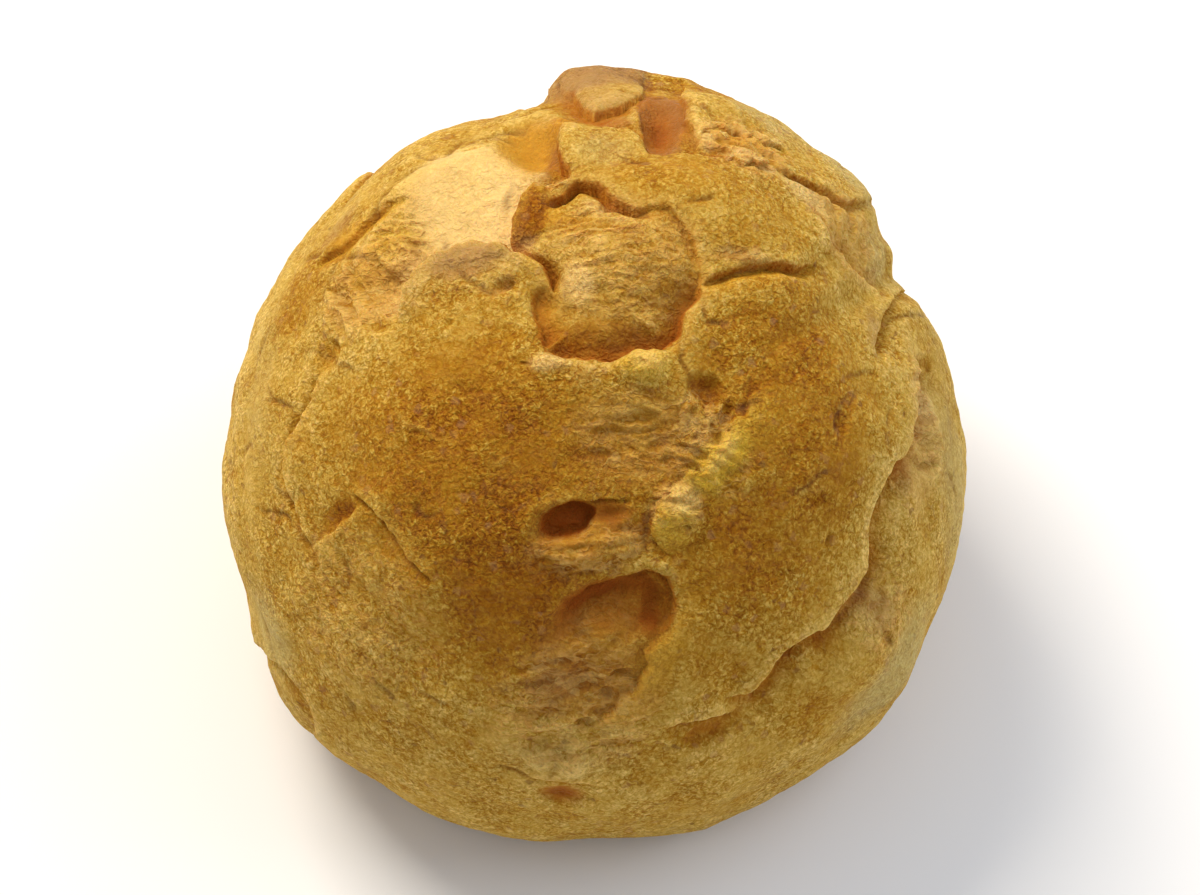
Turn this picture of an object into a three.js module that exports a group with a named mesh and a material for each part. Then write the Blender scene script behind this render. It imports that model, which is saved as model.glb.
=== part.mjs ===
// A cream puff: one uncut ball of baked choux, crusted in plates that have torn apart as it rose.
// The form is star-shaped about its centre. Its relief is a list of ledges, pits and swellings.
// Millimetres, +Z up, with the flat base on z = 0 and the origin under the middle of the puff.
import * as THREE from "three";
import { ConvexHull } from "three/addons/math/ConvexHull.js";
import { ImprovedNoise } from "three/addons/math/ImprovedNoise.js";

// ---- Driving sizes ----
const CENTRE_HEIGHT = 23.5; // of the form's centre above the flat base
const FRONT_DEPTH = 32; // from the centre to the crust, towards the show face's viewer
const BACK_DEPTH = 36; // from the centre to the crust, away from that viewer
const BASE_ROUND = 4; // blend between the sides and the flat base
const RELIEF_START = 0.8; // height above the base where relief begins
const RELIEF_FULL = 6; // height above the base where relief is at full strength
const EDGE = 0.4; // half width of the wall between a ledge's two sides
const WANDER = 0.5; // how far a torn line strays from its path
const WANDER_SCALE = 4.5; // size of those bends
const FILL_SPACING = 2.2; // between the surface points of plain crust
const PATH_SPACING = 1.5; // between the surface points along a ledge
const NEAREST = 0.55; // no two surface points are closer than this
const FAINT = 0.15; // a ledge weaker than this has no rows of points
const LUMPS = [
  { size: 11, height: 0.7 },
  { size: 5, height: 0.3 },
];

// The form's outline as the show face sees it: degrees anticlockwise from the right, and radius.
const OUTLINE = [
  [0, 36.3], [15, 35.3], [24, 34.7], [30, 33.4], [36, 35], [45, 36.8], [72, 36.9], [92, 35.8],
  [106, 34.6], [120, 35.9], [145, 36.3], [170, 37.1], [200, 38.1], [222, 40.5], [245, 39.9],
  [270, 38.7], [285, 39.3], [299, 38.2], [318, 38.3], [335, 37.5],
];

// ---- Faces that places are given on ----
// A place is millimetres right of and above the form's centre, as a viewer of that face sees it.
function faceAt(turn, tilt, eye) {
  const t = THREE.MathUtils.degToRad(turn);
  const e = THREE.MathUtils.degToRad(tilt);
  return {
    eye,
    right: new THREE.Vector3(Math.cos(t), Math.sin(t), 0),
    up: new THREE.Vector3(-Math.sin(t) * Math.sin(e), Math.cos(t) * Math.sin(e), Math.cos(e)),
    toward: new THREE.Vector3(Math.sin(t) * Math.cos(e), -Math.cos(t) * Math.cos(e), Math.sin(e)),
  };
}
const SHOW = faceAt(0, 58, 400);
const REAR = faceAt(180, 22, 400);

// ---- Ledges: the crust left of the path stands above the crust right of it ----
// Each point is right, up and strength. lift and drop are the heights of the two sides at the path,
// and back and wide are how far each side takes to come level again.
const LEDGES = [
  { // the window's ring: a torn hole in the upper crust, with puffed membrane inside
    face: SHOW, lift: 0.7, back: 4, drop: 3, wide: 2.2,
    path: [[-5.6, 26.4, 0], [-4, 27.2, 0.7], [-2.4, 27, 0.9], [0, 25.7, 0.8], [1.4, 24.6, 0.7],
      [3.8, 23.5, 0.5], [5.2, 24.2, 0.3], [6.8, 23.6, 0.4], [8.2, 22, 0.6], [9.3, 20.2, 0.7],
      [10, 18.6, 0.8], [10.4, 16.4, 1], [9.8, 14.8, 1.1], [8.3, 12.2, 1.1], [6.8, 10.2, 1],
      [4.5, 9.7, 1], [1.5, 9.9, 1], [-1.5, 9.4, 0.9], [-5.1, 9.7, 0.8], [-5.5, 12.7, 0.7],
      [-5, 15.7, 0.8], [-5.4, 18, 0.8], [-7, 19.3, 0.6], [-9.2, 20.4, 0.3]],
  },
  { // the window flap's left edge, over the bright slope
    face: SHOW, lift: 0.5, back: 3, drop: 2, wide: 4,
    path: [[-3.4, 28, 0], [-6.5, 26.5, 0.6], [-8, 24.8, 1], [-9, 22.3, 1], [-9.6, 20.4, 0.7]],
  },
  { // the front plate's top edge, over the bright slope
    face: SHOW, lift: 0.8, back: 4, drop: 1.9, wide: 5,
    path: [[-9.2, 20, 0.5], [-11.5, 20.6, 1], [-14.5, 20, 1], [-17, 19, 0.9], [-18.8, 17.2, 0.7],
      [-19.8, 14.8, 0.4], [-20, 12, 0]],
  },
  { // the upper plate's left edge, over the neck
    face: SHOW, lift: 0.6, back: 3, drop: 1.5, wide: 3.4,
    path: [[-3, 33.4, 0.3], [-4.2, 31.3, 0.9], [-4.4, 29.5, 1], [-4, 28, 0.6], [-2.8, 27.3, 0]],
  },
  { // the top knob's left edge
    face: SHOW, lift: 1.3, back: 2.5, drop: 2.4, wide: 4.5,
    path: [[-4.6, 38.5, 1], [-4.9, 36.2, 1], [-5, 34.8, 0.9], [-4.2, 33.2, 0]],
  },
  { // the top knob's curled lower edge
    face: SHOW, lift: 0.4, back: 2, drop: 2, wide: 1.3,
    path: [[-4.6, 35, 0.3], [-2.6, 34.8, 0.8], [-1, 34, 0.9], [1, 34.1, 1.1], [3, 34.5, 1.1],
      [4, 33.4, 0.6], [4.6, 31.6, 0]],
  },
  { // the pocket's right crest
    face: SHOW, lift: 0.4, back: 1.6, drop: 1.7, wide: 2.6,
    path: [[8.6, 36.4, 0], [8.8, 34, 1], [9.6, 32.2, 1], [9.7, 30.2, 0.7], [8, 29.6, 0]],
  },
  { // the pocket's left crest
    face: SHOW, lift: 0.4, back: 1.2, drop: 1.6, wide: 2,
    path: [[5.6, 29.6, 0], [4.9, 32.2, 1], [4.2, 34.8, 0.8], [4.2, 37, 0]],
  },
  { // the upper right rim, over the terrace
    face: SHOW, lift: 0.5, back: 3, drop: 1.4, wide: 1.3,
    path: [[15.5, 28.2, 0], [17.5, 28.2, 0.6], [20, 27.6, 0.9], [23, 26.4, 1], [24.9, 25.1, 1],
      [26.8, 24.8, 0.7]],
  },
  { // the torn membrane below the upper right rim
    face: SHOW, lift: 0.3, back: 1.4, drop: 1, wide: 1.3,
    path: [[11, 30, 0], [13, 31, 0.8], [15.5, 30.6, 0.8], [17, 29.4, 1], [18, 28.4, 0.6],
      [19.5, 27.6, 0]],
  },
  { // the upper plate's right edge, over the terrace
    face: SHOW, lift: 0.5, back: 3, drop: 0.9, wide: 2.5,
    path: [[22, 18.8, 0], [23.4, 20.6, 0.9], [22.6, 22.4, 1], [20.8, 24, 0.8], [18.5, 25.6, 0]],
  },
  { // the gash between the upper and the right plate
    face: SHOW, lift: 0.7, back: 3, drop: 3, wide: 0.9,
    path: [[10.6, 16.2, 0.4], [12.5, 17.2, 0.8], [14.5, 17.9, 1], [17, 18.1, 1], [19, 17.9, 1],
      [20.4, 18.1, 0.6], [22, 18.9, 0]],
  },
  { // the right plate's top right edge, over the terrace
    face: SHOW, lift: 0.3, back: 2, drop: 0.9, wide: 2,
    path: [[28.6, 14.4, 0], [27, 16.4, 1], [25.5, 18.5, 1], [24, 20.2, 0]],
  },
  { // the right plate's outer edge, over the side band
    face: SHOW, lift: 0.6, back: 4, drop: 2.2, wide: 1.7,
    path: [[11, -25.2, 0], [14.6, -25, 0.5], [16.8, -23.2, 0.7], [17.8, -21.4, 0.7],
      [19.2, -20, 0.8], [21.2, -19, 0.9], [23.2, -18, 1], [24.6, -16.2, 1.1], [26, -14.2, 1.1],
      [27.2, -12.4, 0.8], [27.2, -9.8, 0.5], [27.5, -7.4, 0.7], [28.2, -5.4, 1],
      [28.9, -3.2, 1.2], [30, -1.6, 1.1], [31.2, -0.8, 0.7], [31.6, 1.6, 0.6], [32, 5, 0.6],
      [31.8, 8.2, 0.4], [31, 10.6, 0]],
  },
  { // the right plate's inner edge, over the valley
    face: SHOW, lift: 0.5, back: 3, drop: 2, wide: 2.2,
    path: [[15.5, 5.6, 0], [14, 4.6, 0.6], [12.8, 2.6, 1], [11.6, 0.4, 0.9], [9.4, -2, 0.7],
      [7.4, -4, 0.8], [5.6, -5.2, 0.9], [5.3, -8, 0.7], [6.4, -10, 0.6], [7.5, -12.4, 1],
      [8, -15, 1.2], [7.2, -17.6, 1.2], [5.6, -19.6, 0.8], [4.6, -21.8, 0.7], [3.4, -24, 0.8],
      [1.6, -25.6, 0.7], [0.4, -27.4, 0]],
  },
  { // the left crack beside the front plate
    face: SHOW, lift: 0.6, back: 4, drop: 1.1, wide: 2,
    path: [[-25.4, 11.6, 0.3], [-26.8, 10.2, 0.9], [-28, 8.2, 0.8], [-28.4, 6.2, 1],
      [-29.4, 3.8, 0.9], [-30.6, 1.6, 0.9], [-31.3, -0.6, 0.8], [-31.5, -3, 0.6],
      [-31, -5.4, 0.5], [-30, -8.2, 0.4], [-28.6, -10.6, 0.3], [-26.8, -13, 0]],
  },
  { // the groove under the upper left rim
    face: SHOW, lift: 0.5, back: 3, drop: 1.4, wide: 1.8,
    path: [[-29, 17.8, 0], [-27.6, 19, 0.7], [-25.6, 20.4, 1], [-24, 22.2, 1], [-22, 23.6, 0.8],
      [-20, 24.4, 0.6], [-18, 24.6, 0]],
  },
  { // the rough torn patch's lower edge
    face: SHOW, lift: 0.4, back: 2, drop: 0.8, wide: 1.6,
    path: [[-19.5, 12.4, 0], [-21.6, 11.4, 0.8], [-24, 12.4, 0.8], [-25.8, 14.4, 0.9],
      [-26.6, 17, 0]],
  },
  { // a lip on the front plate's left side, over a small triangular notch
    face: SHOW, lift: 0.4, back: 2, drop: 0.9, wide: 1.4,
    path: [[-28.4, -9.4, 0], [-27, -7.8, 0.8], [-26.4, -6.2, 1], [-25.6, -4.8, 0.8],
      [-24.8, -3.8, 0]],
  },
  { // a crack across the front plate
    face: SHOW, lift: 0.35, back: 2.4, drop: 0.7, wide: 1.1,
    path: [[-24.8, -4, 0], [-22.8, -5.3, 0.9], [-21.4, -6.6, 1], [-20.3, -8, 0.9],
      [-19.2, -9.8, 0.8], [-18, -11.4, 1], [-16.6, -12.4, 0.7], [-15.8, -13.8, 0]],
  },
  { // the left lip of the slot in the valley
    face: SHOW, lift: 0.3, back: 2, drop: 2.6, wide: 1.8,
    path: [[-6.4, -8.6, 0], [-5.9, -7.8, 0.9], [-5, -6.4, 1], [-4, -5.4, 1], [-2, -5.2, 0.7],
      [0.6, -5.8, 0.5], [3, -5.8, 0.4], [4.8, -5, 0]],
  },
  { // the lip over the right lower slit
    face: SHOW, lift: 0.5, back: 2, drop: 1.4, wide: 1.9,
    path: [[5.6, -27.6, 0], [8, -27.2, 0.8], [10.4, -27, 1], [13, -27, 0.9], [15, -26.8, 0]],
  },
  { // the lip over the left lower slit
    face: SHOW, lift: 0.4, back: 2, drop: 1.3, wide: 1.4,
    path: [[-8, -33.8, 0], [-6, -33.1, 0.8], [-4, -33.4, 1], [-1.6, -33.6, 0.8], [-0.4, -33.6, 0]],
  },
  { // the lower left rim's fold
    face: SHOW, lift: 0.4, back: 3, drop: 1.3, wide: 2,
    path: [[-35, -18, 0], [-33.4, -20.6, 0.8], [-31.4, -23.4, 1], [-29.8, -25.6, 0.9],
      [-28.8, -28, 0.5], [-28, -30, 0]],
  },
  { // the side fold that starts at the notch in the right outline
    face: SHOW, lift: 0.5, back: 3, drop: 1.3, wide: 1.8,
    path: [[30.6, 14.6, 1], [29.4, 15.6, 1], [28.2, 14, 0.8], [27.6, 11.6, 0.6], [27, 9.4, 0]],
  },
  { // rear: the edge of the rear plate
    face: REAR, lift: 0.6, back: 4, drop: 1.9, wide: 1.8,
    path: [[-25, -2, 0], [-21, 2, 0.7], [-16, 3.4, 1], [-11, 7.4, 0.9], [-7, 8, 1],
      [-2, 12, 1.1], [4, 12.6, 0.8], [9, 16, 0.9], [14, 15.4, 0.6], [19, 18, 0]],
  },
  { // rear: the fold that runs down from it
    face: REAR, lift: 0.5, back: 3, drop: 1.5, wide: 1.6,
    path: [[3.4, 11, 0], [4.6, 6, 0.9], [2.6, 1, 1], [4.4, -4, 0.8], [1.8, -9, 0.5], [2.4, -13, 0]],
  },
  { // rear: the right hand fold
    face: REAR, lift: 0.5, back: 3, drop: 1.4, wide: 2,
    path: [[27, 12, 0], [24.4, 7, 0.9], [25.4, 1, 1], [22, -4, 0.9], [23.4, -9, 0.4], [22, -13, 0]],
  },
  { // rear: the left hand crack, low on the side
    face: REAR, lift: 0.4, back: 3, drop: 1, wide: 1.6,
    path: [[-10, -15, 0], [-15, -12.4, 0.8], [-20, -12, 1], [-25, -8.4, 0.8], [-29.4, -8, 0]],
  },
  { // rear: the upper tear
    face: REAR, lift: 0.6, back: 3, drop: 2, wide: 1.5,
    path: [[-14, 22, 0], [-9, 23.4, 0.9], [-4, 21.4, 1.1], [1, 23.6, 0.8], [5, 23, 0]],
  },
];

// ---- Pits: steep-walled hollows. Each is a place, two radii, a turn in degrees and a depth ----
const PITS = [
  { face: SHOW, at: [-3.4, -7.2], radii: [2.9, 1.5], turn: 12, depth: 3.4 }, // slot in the valley
  { face: SHOW, at: [4, -15.6], radii: [4.1, 3.4], turn: 18, depth: 3.3 }, // the deep front hole
  { face: SHOW, at: [12.6, 2.8], radii: [1, 2.3], turn: -25, depth: 2.2 }, // teardrop in the valley
  { face: SHOW, at: [6.9, 34], radii: [2.2, 2.5], turn: 0, depth: 2 }, // pocket beside the knob
  { face: SHOW, at: [1.9, 33.6], radii: [1.8, 0.9], turn: 5, depth: 1.8 }, // under the knob's curl
  { face: SHOW, at: [-26.2, 10.6], radii: [1.4, 1], turn: 50, depth: 1.4 }, // head of the left crack
  { face: SHOW, at: [-10.2, 16.4], radii: [1.7, 1.4], turn: 30, depth: 1.6 }, // in the front plate's top
  { face: SHOW, at: [1.6, -24], radii: [1.2, 1.2], turn: 0, depth: 1.5 }, // low in the valley
  { face: SHOW, at: [-2.4, -27.4], radii: [1.1, 0.8], turn: 20, depth: 1.3 }, // lowest in the valley
  { face: REAR, at: [-3, 17], radii: [2.6, 1.6], turn: 15, depth: 2 }, // rear, between two tears
  { face: REAR, at: [12, 3], radii: [1.6, 1.2], turn: -30, depth: 1.3 }, // rear plate
];

// ---- Swellings: soft rises, or dips where the height is below zero ----
const SWELLINGS = [
  { face: SHOW, at: [0, 18.4], radii: [9, 8], turn: 0, height: -1.1 }, // the window
  { face: SHOW, at: [-1.5, 16.6], radii: [4.6, 4.6], turn: 0, height: 1.3 }, // its inner lump
  { face: SHOW, at: [-14.5, 25.6], radii: [8, 6.4], turn: 25, height: -1.6 }, // the bright slope
  { face: SHOW, at: [-6.4, 30.4], radii: [3.4, 5], turn: -15, height: -1.5 }, // the neck
  { face: SHOW, at: [0.6, 36.4], radii: [7, 4.6], turn: 0, height: 2.2 }, // the top knob
  { face: SHOW, at: [9, 35], radii: [6, 4], turn: -20, height: 1 }, // the rim beside the knob
  { face: SHOW, at: [10.5, 24.6], radii: [13, 7], turn: -22, height: 1.4 }, // the upper plate
  { face: SHOW, at: [26, 21], radii: [5, 7], turn: 20, height: -1 }, // the terrace
  { face: SHOW, at: [29.3, 19.6], radii: [2.4, 3.2], turn: 20, height: 0.5 }, // its outer knuckle
  { face: SHOW, at: [19, 2], radii: [13, 19], turn: 8, height: 1.4 }, // the right plate
  { face: SHOW, at: [-15, -2], radii: [17, 21], turn: 10, height: 1.3 }, // the front plate
  { face: SHOW, at: [4, 8], radii: [3.6, 2.4], turn: 0, height: 1 }, // the lump under the window
  { face: SHOW, at: [7.4, -8], radii: [2.6, 4], turn: -10, height: 0.8 }, // the lump in the valley
  { face: SHOW, at: [4, 0], radii: [6, 4], turn: 0, height: -1 }, // the valley's membrane
  { face: SHOW, at: [0, -9.8], radii: [5.4, 2], turn: 10, height: 1 }, // the shelf in the valley
  { face: SHOW, at: [0, -24], radii: [6, 6], turn: 0, height: -0.9 }, // the valley's foot
  { face: SHOW, at: [33, -2], radii: [3, 9], turn: 0, height: -0.8 }, // the right side band
  { face: REAR, at: [-6, -2], radii: [18, 12], turn: 10, height: 1.2 }, // rear plate
  { face: REAR, at: [14, 24], radii: [12, 7], turn: -10, height: 1 }, // rear crown
  { face: REAR, at: [14, -4], radii: [8, 12], turn: 0, height: 0.9 }, // rear right cheek
];

// ---- The form ----
const degrees = THREE.MathUtils.radToDeg;
const smooth = THREE.MathUtils.smoothstep;
const noise = new ImprovedNoise();

function outlineRadius(angle) {
  const turned = ((angle % 360) + 360) % 360;
  const after = OUTLINE.findIndex(([at]) => at > turned);
  const [endAngle, endRadius] = after < 0 ? [360, OUTLINE[0][1]] : OUTLINE[after];
  const [startAngle, startRadius] = after < 0 ? OUTLINE[OUTLINE.length - 1] : OUTLINE[after - 1];
  const share = smooth(turned, startAngle, endAngle);
  return startRadius + (endRadius - startRadius) * share;
}

// Distance from the centre to the plain form along the unit vector d.
function formRadius(d) {
  const right = d.dot(SHOW.right);
  const up = d.dot(SHOW.up);
  const toward = d.dot(SHOW.toward);
  const outline = outlineRadius(degrees(Math.atan2(up, right)));
  const depth = toward > 0 ? FRONT_DEPTH : BACK_DEPTH;
  const side = 1 / Math.hypot(right / outline, up / outline, toward / depth);
  if (d.z >= 0) return side;
  const flat = CENTRE_HEIGHT / -d.z;
  const blend = Math.max(BASE_ROUND - Math.abs(side - flat), 0);
  return Math.min(side, flat) - blend ** 2 / (4 * BASE_ROUND);
}

// The point of the form in line with the centre and any other point.
function offForm(point) {
  const d = point.clone().normalize();
  return d.multiplyScalar(formRadius(d));
}

// The point of the form that a face's viewer sees at a place, found by halving.
function onForm(face, [right, up]) {
  const point = new THREE.Vector3();
  const seenAt = (toward) => {
    const share = 1 - toward / face.eye;
    point.copy(face.toward).multiplyScalar(toward);
    point.addScaledVector(face.right, right * share).addScaledVector(face.up, up * share);
    return point.length() - formRadius(point.clone().normalize());
  };
  let near = 0;
  let far = 2 * FRONT_DEPTH;
  while (far - near > 0.01) {
    const middle = (near + far) / 2;
    if (seenAt(middle) > 0) far = middle;
    else near = middle;
  }
  return offForm(point);
}

// ---- The relief ----
// A point moved along the form by noise, so that torn lines aren't straight.
function wandered(point) {
  const [x, y, z] = point.toArray().map((value) => value / WANDER_SCALE);
  const moved = new THREE.Vector3(
    noise.noise(x, y, z),
    noise.noise(y + 31, z, x),
    noise.noise(z, x + 47, y),
  );
  return offForm(moved.multiplyScalar(WANDER).add(point));
}

// A ledge's path cut into short steps: points on the form, and the strength at each.
function stepped(ledge) {
  const points = [];
  const strengths = [];
  ledge.path.forEach(([right, up, strength], i) => {
    const [lastRight, lastUp, lastStrength] = ledge.path[Math.max(i - 1, 0)];
    const length = onForm(ledge.face, [right, up]).distanceTo(onForm(ledge.face, [lastRight, lastUp]));
    const steps = Math.max(1, Math.round(length / PATH_SPACING));
    for (let step = i ? 1 : steps; step <= steps; step++) {
      const share = step / steps;
      const place = [lastRight + (right - lastRight) * share, lastUp + (up - lastUp) * share];
      points.push(wandered(onForm(ledge.face, place)));
      strengths.push(lastStrength + (strength - lastStrength) * share);
    }
  });
  return { ...ledge, points, strengths };
}
const ledges = LEDGES.map(stepped);

// Two tangent axes at a pit or swelling, turned in its face's view and scaled by its radii.
function placed(mark) {
  const at = onForm(mark.face, mark.at);
  const out = at.clone().normalize();
  const turn = THREE.MathUtils.degToRad(mark.turn);
  const along = mark.face.right.clone().applyAxisAngle(out, turn).projectOnPlane(out).normalize();
  const across = out.clone().cross(along);
  return { ...mark, centre: at, along, across };
}
const pits = PITS.map(placed);
const swellings = SWELLINGS.map(placed);

// How far a point is from a mark's centre, as a share of its radii, and 9 on the far side.
function shareFrom(mark, point) {
  const offset = point.clone().sub(mark.centre);
  if (point.dot(mark.centre) < 0) return 9;
  return Math.hypot(offset.dot(mark.along) / mark.radii[0], offset.dot(mark.across) / mark.radii[1]);
}

// The nearest place on a ledge's path: distance, positive on its high side, and strength there.
function fromLedge(ledge, point) {
  let best = { distance: Infinity, strength: 0 };
  const segment = new THREE.Vector3();
  const offset = new THREE.Vector3();
  for (let i = 1; i < ledge.points.length; i++) {
    segment.subVectors(ledge.points[i], ledge.points[i - 1]);
    offset.subVectors(point, ledge.points[i - 1]);
    const share = THREE.MathUtils.clamp(offset.dot(segment) / segment.lengthSq(), 0, 1);
    const side = Math.sign(segment.clone().cross(offset).dot(point)) || 1;
    const distance = offset.addScaledVector(segment, -share).length();
    if (distance >= Math.abs(best.distance)) continue;
    const [from, to] = [ledge.strengths[i - 1], ledge.strengths[i]];
    best = { distance: distance * side, strength: from + (to - from) * share };
  }
  return best;
}

// Height of the crust over the plain form at one of the form's points.
function relief(point) {
  let rise = 0;
  let fall = 0;
  for (const ledge of ledges) {
    const { distance, strength } = fromLedge(ledge, point);
    if (Math.abs(distance) > 3 * Math.max(ledge.back, ledge.wide)) continue;
    const high = smooth(distance, -EDGE, EDGE);
    const lip = high * ledge.lift * Math.exp(-((distance / ledge.back) ** 2));
    const foot = (1 - high) * ledge.drop * Math.exp(-((distance / ledge.wide) ** 2));
    rise = Math.max(rise, strength * lip);
    fall = Math.max(fall, strength * foot);
  }
  for (const pit of pits)
    fall = Math.max(fall, pit.depth * (1 - smooth(shareFrom(pit, point), 0.5, 1.1)));
  let height = rise - fall;
  for (const swelling of swellings)
    height += swelling.height * Math.max(1 - shareFrom(swelling, point) ** 2, 0) ** 2;
  for (const { size, height: tall } of LUMPS)
    height += tall * noise.noise(point.x / size, point.y / size, point.z / size);
  return height * smooth(point.z + CENTRE_HEIGHT, RELIEF_START, RELIEF_FULL);
}

// ---- The surface: directions from the centre, joined by their convex hull ----
const directions = [];
const cells = new Map();
const cellOf = (value) => Math.floor(value / NEAREST);

// Adds a point of the form unless another lies within the gap.
function addPoint(point, gap) {
  const [x, y, z] = point.toArray().map(cellOf);
  const reach = Math.ceil(gap / NEAREST);
  for (let i = x - reach; i <= x + reach; i++)
    for (let j = y - reach; j <= y + reach; j++)
      for (let k = z - reach; k <= z + reach; k++)
        for (const other of cells.get(`${i},${j},${k}`) ?? [])
          if (other.distanceTo(point) < gap) return;
  const key = `${x},${y},${z}`;
  cells.set(key, [...(cells.get(key) ?? []), point]);
  directions.push(point.clone().normalize());
}

// Rows of points along a ledge: the lip, the foot, the floor of the gap and the crust behind.
const ROWS = [EDGE, -EDGE, -3.2 * EDGE, 3.6 * EDGE];
for (const { points, strengths } of ledges)
  points.forEach((point, i) => {
    if (strengths[i] < FAINT) return;
    const along = points[Math.min(i + 1, points.length - 1)].clone().sub(points[Math.max(i - 1, 0)]);
    const across = point.clone().cross(along).normalize();
    for (const offset of ROWS)
      addPoint(offForm(point.clone().addScaledVector(across, offset)), NEAREST);
  });

// Rings of points at the rim and the floor of each pit.
for (const { centre, along, across, radii } of pits)
  for (const size of [1.1, 0.6, 0]) {
    const count = size ? Math.round((size * 6 * Math.max(...radii)) / PATH_SPACING) + 3 : 1;
    for (let i = 0; i < count; i++) {
      const turn = (2 * Math.PI * i) / count;
      const on = centre.clone().addScaledVector(along, size * radii[0] * Math.cos(turn));
      on.addScaledVector(across, size * radii[1] * Math.sin(turn));
      addPoint(offForm(on), NEAREST);
    }
  }

// Plain crust: an even spiral of points over the rest.
const GOLDEN_TURN = Math.PI * (3 - Math.sqrt(5));
const meanRadius = (OUTLINE[0][1] + FRONT_DEPTH) / 2;
const fillCount = Math.round((16 * Math.PI * meanRadius ** 2) / (Math.sqrt(12) * FILL_SPACING ** 2));
for (let i = 0; i < fillCount; i++) {
  const z = 1 - (2 * i + 1) / fillCount;
  const ring = Math.sqrt(1 - z * z);
  const turn = i * GOLDEN_TURN;
  const d = new THREE.Vector3(ring * Math.cos(turn), ring * Math.sin(turn), z);
  addPoint(offForm(d), 0.62 * FILL_SPACING);
}

const hull = new ConvexHull().setFromPoints(directions);
const crust = directions.map((d) => {
  const plain = d.clone().multiplyScalar(formRadius(d));
  return d.clone().multiplyScalar(plain.length() + relief(plain));
});
const order = new Map(directions.map((d, i) => [d, i]));
const triangles = hull.faces.flatMap((face) => {
  const first = face.edge;
  const corners = [first.head().point, first.next.head().point, first.next.next.head().point];
  return corners.map((corner) => order.get(corner));
});

const box = new THREE.Box3().setFromPoints(crust);
const middle = box.getCenter(new THREE.Vector3());
const shift = new THREE.Vector3(-middle.x, -middle.y, -box.min.z);
const positions = crust.flatMap((point) => point.add(shift).toArray());
const shell = new THREE.BufferGeometry();
shell.setAttribute("position", new THREE.Float32BufferAttribute(positions, 3));
shell.setIndex(triangles);
shell.computeVertexNormals();

// Golden brown crust, matt.
const crustMaterial = new THREE.MeshStandardMaterial({ color: 0xb07a2c, roughness: 0.75, metalness: 0 });
const puff = new THREE.Mesh(shell, crustMaterial);
puff.name = "puff";

const cream_puff = new THREE.Group();
cream_puff.add(puff);
export default cream_puff;
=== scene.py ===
import math
from functools import reduce
from itertools import product

import bpy
import numpy as np
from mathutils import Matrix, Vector


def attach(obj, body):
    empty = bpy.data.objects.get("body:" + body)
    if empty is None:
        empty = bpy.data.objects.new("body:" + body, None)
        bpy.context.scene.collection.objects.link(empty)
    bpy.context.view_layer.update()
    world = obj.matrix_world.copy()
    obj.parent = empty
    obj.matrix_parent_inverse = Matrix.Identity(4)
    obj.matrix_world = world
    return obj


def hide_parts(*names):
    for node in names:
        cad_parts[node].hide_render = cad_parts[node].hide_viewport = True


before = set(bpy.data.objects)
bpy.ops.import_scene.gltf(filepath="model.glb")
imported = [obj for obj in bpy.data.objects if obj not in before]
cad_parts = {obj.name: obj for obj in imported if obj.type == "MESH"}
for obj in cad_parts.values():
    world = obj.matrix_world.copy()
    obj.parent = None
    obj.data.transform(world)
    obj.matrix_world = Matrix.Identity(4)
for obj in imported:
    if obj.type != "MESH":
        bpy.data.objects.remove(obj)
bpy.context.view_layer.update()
mm = 0.001

# A baked choux puff: a round form whose crust has torn into plates, with stretched skin in the tears.
# Everything below is in millimetres until the mesh is written. Places are given as a viewer of a
# face sees them: right of and above the form's centre.

puffForm = {
    "centreHeight": 23.5,  # form's centre above the flat base
    "frontDepth": 32,  # centre to crust, towards the show face's viewer
    "backDepth": 36,  # centre to crust, away from that viewer
    "baseRound": 4,
    "reliefStart": 0.8,  # height above the base where relief begins
    "reliefFull": 6,
    "eye": 400,  # viewer's distance from the centre
    "viewTilt": 58,  # and degrees above the floor
    "rearTilt": 22,
    "ballLevel": 9,
    "triangles": 197000,
    "seed": 41,
    # outline seen by the show face: degrees anticlockwise from the right, radius
    "outline": [
        (0, 36.3), (15, 35.3), (24, 34.7), (30, 33.8), (36, 35.3), (45, 36.8), (72, 36.9), (92, 36),
        (106, 34.6), (120, 35.6), (145, 35.9), (164, 36.1), (174, 37.2), (200, 38.3), (222, 40.4),
        (245, 40), (270, 39.1), (285, 39.3), (300, 38.5), (319, 39), (335, 37.4), (346, 36.5), (360, 36.3),
    ],
}


def faceAt(turn, tilt):
    t, e = math.radians(turn), math.radians(tilt)
    return {
        "right": np.array([math.cos(t), math.sin(t), 0]),
        "up": np.array([-math.sin(t) * math.sin(e), math.cos(t) * math.sin(e), math.cos(e)]),
        "toward": np.array([math.sin(t) * math.cos(e), -math.cos(t) * math.cos(e), math.sin(e)]),
    }


show = faceAt(0, puffForm["viewTilt"])
rear = faceAt(180, puffForm["rearTilt"])


def onFaces(shown, hidden):
    # entries for the show face and then for the rear, each with its face in front
    return [(show, *entry) for entry in shown] + [(rear, *entry) for entry in hidden]


def smooth(value, low, high):
    share = np.clip((value - low) / (high - low), 0, 1)
    return share * share * (3 - 2 * share)


def outlineRadius(angles):
    turns, radii = np.array(puffForm["outline"], float).T
    at = np.clip(np.searchsorted(turns, angles, side="right"), 1, len(turns) - 1)
    share = smooth((angles - turns[at - 1]) / (turns[at] - turns[at - 1]), 0, 1)
    return radii[at - 1] + (radii[at] - radii[at - 1]) * share


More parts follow.
